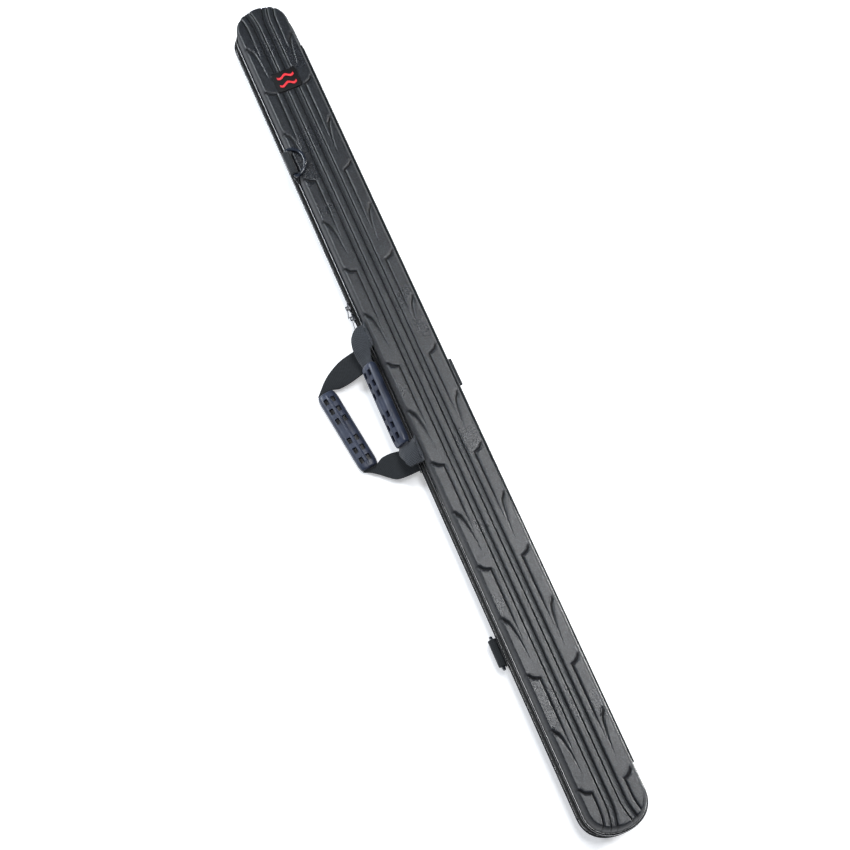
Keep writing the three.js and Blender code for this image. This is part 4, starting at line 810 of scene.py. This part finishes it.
# Rear tab: a folded webbing loop stitched to the back of the base, to hang the case up to dry. It lies on
# the wall under the rim, and its fold stands out.
WEB = 1.9  # thickness of heavy webbing
low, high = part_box("rear_tab")
tab_x = (low[0] + high[0]) / 2 / MM
tab_edge = np.array([(high[0] - low[0]) / 2 / MM, 0, 0])
wall, out = low[1] / MM, high[1] / MM
line = rail([(tab_x, wall + 1.6, 12.2), (tab_x, wall + 1.9, 18), (tab_x, wall + 2.6, 21.2),
             (tab_x, out - 3.2, 22.9), (tab_x, out - 1.2, 24), (tab_x, out - 3.2, 25.0),
             (tab_x, wall + 3.2, 25.0)], 48)
tab = webbing("rear_tab_webbing", line - tab_edge, line + tab_edge, WEB)
finish_piece(tab, web_black, "webbing", "base", "rear_tab")
seam("rear_tab_seam", "base", [(tab_x - 16, wall + 2.7, 15), (tab_x + 16, wall + 2.7, 15)])

# Rivets: steel tubular rivets, blackened, set through the webbing ends and the shell. Their heads are
# rounded at the edge.

# Steel, turned and chemically blackened: a dark metal with fine turning marks.
steel = mottled("steel_blackened", 0.8, 4.0, [(0.3, "#4b4c50"), (0.7, "#7d7f84")], 0.03, Metallic=1.0,
                Roughness=0.32)
for node in sorted(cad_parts):
    if "_rivet_" in node:
        head = rounded_copy(node, f"{node}_head", 0.25, 2, 20)
        finish_piece(head, steel, "rivet", node.split("_")[0], node)

# D-rings: injection-moulded acetal, each held in a doubled loop of webbing that two rivets fix to the wall.
# The lid's lies back over the lid, and the base's hangs down.
RING_HALF = 24.0
RING_BAR = 5.0
RING_THICK = 4.5
RING_REACH = 23.5
RING_SIDES = 14
LOOP_RADIUS = 4.75  # of the middle of the webbing, round the bar
TAB_HALF = 18.1
INNER_LAYER = 1.35  # middle of each layer of the loop, out from the wall
OUTER_LAYER = 3.35
RING_POWER = 0.8  # 1 is a round section, and less is squarer
# Its x, its bar's y and z, its tilt, and the wall's y with the foot and the top of the webbing on it.
RINGS = {
    "lid": (-362.5, (-42.5, 81.0), 11.5, (-38.3, 52.0, 61.4)),
    "base": (362.5, (-51.0, 25.6), -90.0, (-43.0, 9.6, 19.0)),
}


def d_ring(name, centre, tilt):
    """A D in its own plane, bar along X, then turned about the bar and put in place."""
    inside = RING_HALF - RING_BAR / 2
    rise = RING_REACH - RING_BAR / 2
    path = [(-inside + 3, 0), (-inside / 2, 0), (0, 0), (inside / 2, 0), (inside - 3, 0), (inside - 0.8, 0.9)]
    path += [(inside * math.cos(t), max(rise * math.sin(t), 3.4))
             for t in np.radians(np.linspace(9, 171, 40))]
    path += [(-inside + 0.8, 0.9)]
    along = unit(np.roll(path, -1, 0) - np.roll(path, 1, 0))
    vertices = []
    for (px, py), (ax, ay) in zip(path, along):
        for k in range(RING_SIDES):
            turn = 2 * math.pi * k / RING_SIDES
            u = RING_BAR / 2 * signed_power(math.cos(turn), RING_POWER)
            v = RING_THICK / 2 * signed_power(math.sin(turn), RING_POWER)
            vertices.append((px + ay * u, py - ax * u, v))
    faces = grid_faces(len(path), RING_SIDES)
    last = (len(path) - 1) * RING_SIDES
    faces += [(last + k, last + (k + 1) % RING_SIDES, (k + 1) % RING_SIDES, k) for k in range(RING_SIDES)]
    obj = new_object(name, vertices, faces, 60)
    obj.data.transform(Matrix.Translation(Vector(centre) * MM) @ Matrix.Rotation(math.radians(tilt), 4, "X"))
    return obj


# Acetal, injection moulded and polished in the tool: blue-black and glossy.
acetal_gloss = mottled("acetal_polished", 0.15, 3.0, [(0.3, "#12161e"), (0.7, "#232a36")], 0.06,
                       Roughness=0.2, IOR=1.48, Coat_Weight=0.3, Coat_Roughness=0.1)

for half, long in (("lid", 0.0747), ("base", 0.0526)):
    x, (y, z), tilt, (wall, foot, top) = RINGS[half]
    ring = d_ring(f"{half}_d_ring_moulded", (x, y, z), tilt)
    finish_piece(ring, acetal_gloss, "ring", f"{half}_ring", f"{half}_d_ring")
    # The webbing goes up the wall, round the bar and down again over itself
    neck = math.degrees(math.atan2(top - z, wall - 2.3 - y))
    loop = [(y + LOOP_RADIUS * math.cos(t), z + LOOP_RADIUS * math.sin(t))
            for t in np.radians(np.linspace(neck + 42, neck + 318, 14))]
    inner, outer = ([(wall - off, foot), (wall - off, (foot + top) / 2), (wall - off - 0.05, top - 1)]
                    for off in (INNER_LAYER, OUTER_LAYER))
    line = rail([(x, *point) for point in inner + loop + outer[::-1]], 90)
    to_edge = np.array([TAB_HALF, 0, 0])
    tab = webbing(f"{half}_d_ring_webbing", line - to_edge, line + to_edge, WEB)
    finish_piece(tab, web_black, "webbing", half, f"{half}_d_ring_tab")

# Grips: polypropylene mouldings, with a row of slots on each side of a raised spine. The webbing is trapped
# in each end.
GRIP_LONG = 61.0  # half sizes
GRIP_WIDE = 13.2
GRIP_TALL = 7.5
GRIP_POWER = 2 / 0.75
SPINE_TALL, SPINE_WIDE = 0.8, 1.6
# Distance from an end, and the share of the width and of the height there.
GRIP_ENDS = np.array([(0, 0.76, 0.72), (0.5, 0.83, 0.8), (1.5, 0.89, 0.87), (3, 0.93, 0.91), (7, 0.98, 0.97),
                      (11, 1, 1), (61, 1, 1.03)])
# Points across one half of a grip, close together at the edges of its slots.
GRIP_ROWS = [0, 0.5, 1.1, 1.8, 2.5, 2.8, 3.05, 3.5, 4.6, 5.4, 6.2, 7.3, 7.75, 8.0, 8.25, 9.2, 10.2, 11.2, 12,
             12.6, 13, 13.25, 13.42, 13.5]
SLOT_XS = (-48.0, -32.0, -16.0, 16.0, 32.0, 48.0)
SLOT_Y, SLOT_LONG, SLOT_WIDE, SLOT_DEEP = 5.4, 4.2, 2.6, 4.6
SLIT = (9.3, 1.3, 10.0)  # half width, half height and depth of the slit for the webbing
GRIPS = {
    "base": {"place": (5.0, -112.8, 9.0), "skew": 7.5, "tilt": 0.0},
    "lid": {"place": (6.0, -55.0, 50.4), "skew": 0.0, "tilt": 55.0},
}


def turned(points, grip):
    """Puts points of a grip, or of the webbing in it, in place: tilted about X, then turned about Z."""
    place = (Matrix.Translation(Vector(grip["place"])) @ Matrix.Rotation(math.radians(grip["skew"]), 4, "Z")
             @ Matrix.Rotation(math.radians(grip["tilt"]), 4, "X"))
    return [tuple(place @ Vector(point)) for point in points]


def slot_depth(x, ys):
    """Share of a slot's depth at one place along the grip and several across it."""
    fall = np.zeros(len(ys))
    for slot_x in SLOT_XS:
        u = np.abs(x - slot_x) - SLOT_LONG
        v = np.abs(np.abs(ys) - SLOT_Y) - SLOT_WIDE
        corner = np.hypot(np.maximum(u + 1.0, 0), np.maximum(v + 1.0, 0)) - 1.0
        fall = np.maximum(fall, np.clip(0.5 - np.maximum(np.maximum(u, v), corner) / 0.5, 0, 1))
    return fall * fall * (3 - 2 * fall)


def grip_piece(name, grip):
    xs = [*np.arange(-GRIP_LONG, -56, 0.5), *np.arange(-56, 56.1, 1.6), *np.arange(56.5, GRIP_LONG, 0.5)]
    xs += [-GRIP_LONG, GRIP_LONG]
    xs += [slot_x + side * (SLOT_LONG + step) for slot_x in SLOT_XS for side in (-1, 1)
           for step in (-0.9, -0.25, 0.0, 0.25)]
    xs = np.unique(np.round(xs, 2))
    ys = np.array([*(-y for y in GRIP_ROWS[:0:-1]), *GRIP_ROWS])
    rows, hollows = [], []
    for x in xs:
        from_end = GRIP_LONG - abs(x)
        wide, tall = (size * np.interp(from_end, GRIP_ENDS[:, 0], GRIP_ENDS[:, column])
                      for size, column in ((GRIP_WIDE, 1), (GRIP_TALL, 2)))
        height = tall * np.clip(1 - (np.abs(ys) / GRIP_WIDE) ** GRIP_POWER, 0, 1) ** (1 / GRIP_POWER)
        spine = SPINE_TALL * np.exp(-(ys / SPINE_WIDE) ** 2) * np.clip(from_end / 8, 0, 1)
        fall = slot_depth(x, ys)
        y = ys * wide / GRIP_WIDE
        top = np.column_stack([np.full(len(y), x), y, height + spine - SLOT_DEEP * fall])
        under = np.column_stack([np.full(len(y) - 2, x), y[-2:0:-1], -0.98 * height[-2:0:-1]])
        rows.append(np.concatenate([top, under]))
        hollows.append(np.concatenate([fall, np.zeros(len(under))]))
    count = len(rows[0])
    slit_wide, slit_high, slit_deep = SLIT
    # The slits in both ends: an opening drawn from the end's own points, and its floor
    for end, side in ((0, -1), (len(xs) - 1, 1)):
        outer = rows[end]
        y = outer[:, 1] / np.abs(outer[:, 1]).max() * slit_wide
        z = np.clip(outer[:, 2], -slit_high, slit_high)
        slit = [np.column_stack([np.full(count, side * x), y, z]) for x in (GRIP_LONG, GRIP_LONG - slit_deep)]
        rows = slit[::-1] + rows if side < 0 else rows + slit
        hollows = [np.zeros(count)] * 2 + hollows if side < 0 else hollows + [np.zeros(count)] * 2
    obj = new_object(name, turned(np.concatenate(rows), grip), closed_faces(len(rows), count), 40)
    # Share of each slot's depth at each point, for the painted shade in the slots.
    mark_hollow(obj, np.concatenate(hollows))
    return obj


# Polypropylene, injection moulded with a fine spark finish: navy-black, with a soft bluish sheen. Painted
# shade turns the slots near black by their depth.
grip_plastic, tree, shader, place = new_material("polypropylene_spark_finish", Roughness=0.38, IOR=1.49)
spark = add_node(tree, "TexNoise", Vector=place, Scale=1.3, Detail=3.0)
worn = add_node(tree, "TexNoise", Vector=place, Scale=0.05, Detail=3.0)
hollow = add_node(tree, "Attribute", {"attribute_name": "hollow"}).outputs["Fac"]
navy = add_node(tree, "ValToRGB", stops=[(0.35, "#252a3a"), (0.65, "#343b4d")], Fac=worn)
# Painted shade: the slots darken towards #08090c as deep as they go.
colour = add_node(tree, "Mix", {"data_type": "RGBA"}, Factor=hollow, in_6=navy, in_7=linear("#08090c"))
feed(shader, Base_Color=colour.outputs[2], Normal=add_node(tree, "Bump", Height=spark, Distance=0.1 * MM))

for half, grip in GRIPS.items():
    moulding = grip_piece(f"{half}_grip_moulded", grip)
    finish_piece(moulding, grip_plastic, "grip", f"{half}_handle", f"{half}_grip")

# Handle webbing: 34 mm nylon, riveted to the front wall, turned outward there and gathered to 18 mm where
# it goes into the grip.
STRAP_HALF = 17.0
MOUTH_HALF = 11.5  # where it meets the grip
TONGUE_HALF = 9.0  # inside the grip
# Where it lies on the wall and where it turns outward, as y and z, and the x of each length.
WALLS = {
    "base": {"root": [(-45.0, 9.2), (-44.6, 15), (-44.5, 19.6)], "turn": (-46.99, 22.0), "x": (-78.0, 83.0)},
    "lid": {"root": [(-38.6, 70.7), (-39.0, 66.5), (-39.4, 62)], "turn": (-41.509, 59.5), "x": (-91.0, 84.0)},
}
# How the base's webbing turns into the grip: for each edge, shares of the way from the wall to the mouth of
# the grip, along the case and across it, how far the inner edge bows to the middle, and the share of the
# drop.
BASE_TURNS = {
    -1: [((0, 0), (0, 0), 0, 0), ((0.06, 0.22), (0.5, 0.29), 2.2, 0.12),
         ((0.14, 0.445), (0.85, 0.56), 4.2, 0.4), ((0.31, 0.635), (1, 0.76), 4.4, 0.68),
         ((0.53, 0.79), (1, 0.88), 3.4, 0.88), ((0.79, 0.91), (1, 0.955), 0.6, 0.98)],
    1: [((0, 0), (0, 0), 0, 0), ((0, 0.24), (0.5, 0.29), 2.2, 0.12),
        ((0.08, 0.45), (0.85, 0.56), 4.8, 0.4), ((0.33, 0.59), (1, 0.76), 5.4, 0.68),
        ((0.61, 0.72), (1, 0.88), 4.2, 0.88), ((0.86, 0.865), (1, 0.955), 0.7, 0.98)],
}


def base_edges(x, side, mouth):
    """The base's webbing turns level into its grip."""
    turn_y, turn_z = WALLS["base"]["turn"]
    outer, inner = [], []
    for out, inn, bow, drop in BASE_TURNS[side]:
        for edge, start, corner, (u, v), lean in ((outer, x + side * STRAP_HALF, mouth[0], out, 0),
                                                  (inner, x - side * STRAP_HALF, mouth[1], inn, side * bow)):
            edge.append((start + (corner[0] - start) * u - lean, turn_y + (corner[1] - turn_y) * v,
                         turn_z + (corner[2] - turn_z) * drop))
    return outer, inner


def lid_edges(x, side, mouth):
    """The lid's webbing comes out level and drops down to its tilted grip."""
    y, z = WALLS["lid"]["turn"]
    low, high = x - STRAP_HALF, x + STRAP_HALF
    out, inn = mouth
    if side < 0:
        outer = [(low, y, z), (low, y - 8, z), (x - 12, y - 15, z - 0.3), (x - 3, y - 21.5, z - 2),
                 (x + 11, out[1] - 4, z - 8), (x + 23, out[1] - 2.5, out[2] + 2)]
        inner = [(high, y, z), (x + 18, y - 1, z), (x + 19, y - 2, z), (x + 21, y - 3, z - 0.2),
                 (x + 25, y - 3.9, z - 0.2), (x + 30, inn[1] + 0.6, inn[2] + 0.1)]
    else:
        outer = [(high, y, z), (high, y - 9, z), (high, y - 15.5, z - 0.6), (x + 13, y - 19, z - 2),
                 (x + 4, out[1] - 1, z - 6), (x - 7, out[1] - 2.8, out[2] + 3)]
        inner = [(low, y, z), (inn[0] - 0.2, y - 1.6, z), (inn[0] + 0.4, y - 3, z),
                 (inn[0] + 0.8, y - 4.2, z + 0.1), (inn[0] + 0.9, inn[1] + 1.6, inn[2] - 0.1),
                 (inn[0] + 0.6, inn[1] + 0.7, inn[2])]
    return outer, inner


for half, edges, web, slot in (("base", base_edges, web_black, "webbing"),
                               ("lid", lid_edges, web_grey, "webbing_grey")):
    wall = WALLS[half]
    for side, x, word in zip((-1, 1), wall["x"], ("left", "right")):
        # Two points each where the webbing meets the grip, just inside it and at its own end
        mouth, throat, tongue = (
            turned([(side * (GRIP_LONG + past), -wide, 0), (side * (GRIP_LONG + past), wide, 0)], GRIPS[half])
            for past, wide in ((1, MOUTH_HALF), (-0.2, TONGUE_HALF), (-9, TONGUE_HALF)))
        lines = []
        for number, edge in enumerate(edges(x, side, mouth)):
            at_edge = x + (side if number == 0 else -side) * STRAP_HALF
            free = [(at_edge, y, z) for y, z in wall["root"]] + edge + [mouth[number]]
            lines.append(np.vstack([rail(free, 84), [throat[number], tongue[number]]]))
        strap = webbing(f"{half}_handle_webbing_{word}", *lines, WEB)
        finish_piece(strap, web, slot, None, f"{half}_handle_strap_{word}", f"{half}_handle_anchor_{word}")
        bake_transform(strap)

# Badge: a soft PVC patch with two plain wave bands, glued in the recess at the end of the lid. Patch and
# bands are cast in one mould.

# Soft PVC, cast: matt near-black with a very fine dull texture.
pvc_soft = mottled("pvc_soft_cast", 1.5, 3.0, [(0.3, "#050506"), (0.7, "#0c0c0e")], 0.08, Roughness=0.55,
                   IOR=1.5, Specular_IOR_Level=0.25)
# Soft PVC, cast red: flat and bright.
pvc_red = mottled("pvc_soft_red", 0.8, 3.0, [(0.3, "#d81f2a"), (0.7, "#f0363e")], 0.05, Roughness=0.5,
                  IOR=1.5)
finish_piece(rounded_copy("badge_patch", "badge_patch_cast", 0.5, 3), pvc_soft, "badge", "lid", "badge_patch")
for number in (1, 2):
    node = f"badge_wave_{number}"
    finish_piece(rounded_copy(node, f"{node}_cast", 0.2, 2, 60), pvc_red, "badge_wave", "lid", node)

# Floor, light and camera: a flat white board under the case, broad soft lamps over it, and the photograph's
# steep view along the case.
FLOOR_HALF = 12.0
FLOOR_Z = -0.0004
floor_mesh = bpy.data.meshes.new("floor")
corners = [(x * FLOOR_HALF, y * FLOOR_HALF, FLOOR_Z) for x, y in ((-1, -1), (1, -1), (1, 1), (-1, 1))]
floor_mesh.from_pydata(corners, [], [(0, 1, 2, 3)])
floor = bpy.data.objects.new("floor", floor_mesh)
bpy.context.scene.collection.objects.link(floor)


def in_view(tree):
    """1 for what the camera sees, straight on, in gloss or through glass, and 0 for light on the object."""
    path = add_node(tree, "LightPath")
    seen = path.outputs["Is Camera Ray"]
    for ray in ("Is Glossy Ray", "Is Transmission Ray"):
        seen = add_node(tree, "Math", {"operation": "MAXIMUM"}, in_0=seen, in_1=path.outputs[ray])
    return seen


# Painted board, matt white: it takes a soft shadow and shows as plain white around it.
board, tree, shader, place = new_material("board_painted_white", Roughness=0.9, Specular_IOR_Level=0.1,
                                          Emission_Color=(1, 1, 1, 1))
mottle = add_node(tree, "TexNoise", Vector=place, Scale=0.01, Detail=2.0)
feed(shader, Base_Color=add_node(tree, "ValToRGB", stops=[(0.2, "#f6f8fb"), (0.8, "#fbfcfe")], Fac=mottle),
     Emission_Strength=add_node(tree, "Math", {"operation": "MULTIPLY"}, in_0=in_view(tree), in_1=0.4))
floor_mesh.materials.append(board)

world = bpy.data.worlds.new("studio")
bpy.context.scene.world = world
world.use_nodes = True
world.node_tree.nodes.clear()
back = add_node(world.node_tree, "Background", Color=(0.13, 0.14, 0.16, 1), Strength=1.0)
add_node(world.node_tree, "OutputWorld", Surface=back)


def lamp(name, place, target, size, power, colour, spread=180):
    """A soft box: its place, what it looks at and its size in metres, its power in watts, its colour, and
    the angle that its grid lets light out at."""
    data = bpy.data.lights.new(name, "AREA")
    data.shape = "RECTANGLE"
    data.size, data.size_y = size
    data.energy = power
    data.color = colour
    data.spread = math.radians(spread)
    obj = bpy.data.objects.new(name, data)
    bpy.context.scene.collection.objects.link(obj)
    obj.location = place
    obj.rotation_euler = (Vector(target) - Vector(place)).to_track_quat("-Z", "Y").to_euler()


lamp("top_softbox", (0.02, 0.34, 2.6), (0.02, 0.34, 0), (1.1, 0.6), 14, (0.98, 0.99, 1), 100)
lamp("left_softbox", (-1.9, -1.85, 1.95), (-0.5, 0, 0.05), (1.5, 0.6), 6.5, (0.9, 0.95, 1), 46)
lamp("right_softbox", (0.0, 2.4, 1.7), (0.4, 0, 0.05), (1.0, 0.6), 6.5, (1, 0.99, 0.98), 46)
lamp("top_strip", (-1.78, 0.22, 2.6), (-1.78, 0.22, 0), (1.2, 0.06), 0.8, (0.95, 0.97, 1))

# The camera that was fitted to the photograph: its place in metres, its angles and its focal length.
CAMERA_PLACE = (0.6684, -0.1909, 1.9178)
AZIMUTH, ELEVATION, ROLL = (math.radians(v) for v in (-74.313, 71.109, -7.725))
FOCAL_PIXELS = 1500
PICTURE_PIXELS = 850
forward = Vector((math.sin(AZIMUTH) * math.cos(ELEVATION), math.cos(AZIMUTH) * math.cos(ELEVATION),
                  -math.sin(ELEVATION)))
level = forward.cross(Vector((0, 0, 1))).normalized()
upright = level.cross(forward)
right = level * math.cos(ROLL) + upright * math.sin(ROLL)
above = upright * math.cos(ROLL) - level * math.sin(ROLL)
camera_data = bpy.data.cameras.new("camera")
camera_data.sensor_width = 36.0
camera_data.lens = camera_data.sensor_width * FOCAL_PIXELS / PICTURE_PIXELS
camera_data.clip_end = 60
camera = bpy.data.objects.new("camera", camera_data)
bpy.context.scene.collection.objects.link(camera)
turn = Matrix((right, above, -forward)).transposed().to_4x4()
camera.matrix_world = Matrix.Translation(CAMERA_PLACE) @ turn
bpy.context.scene.camera = camera
bpy.context.scene.view_settings.view_transform = "Standard"
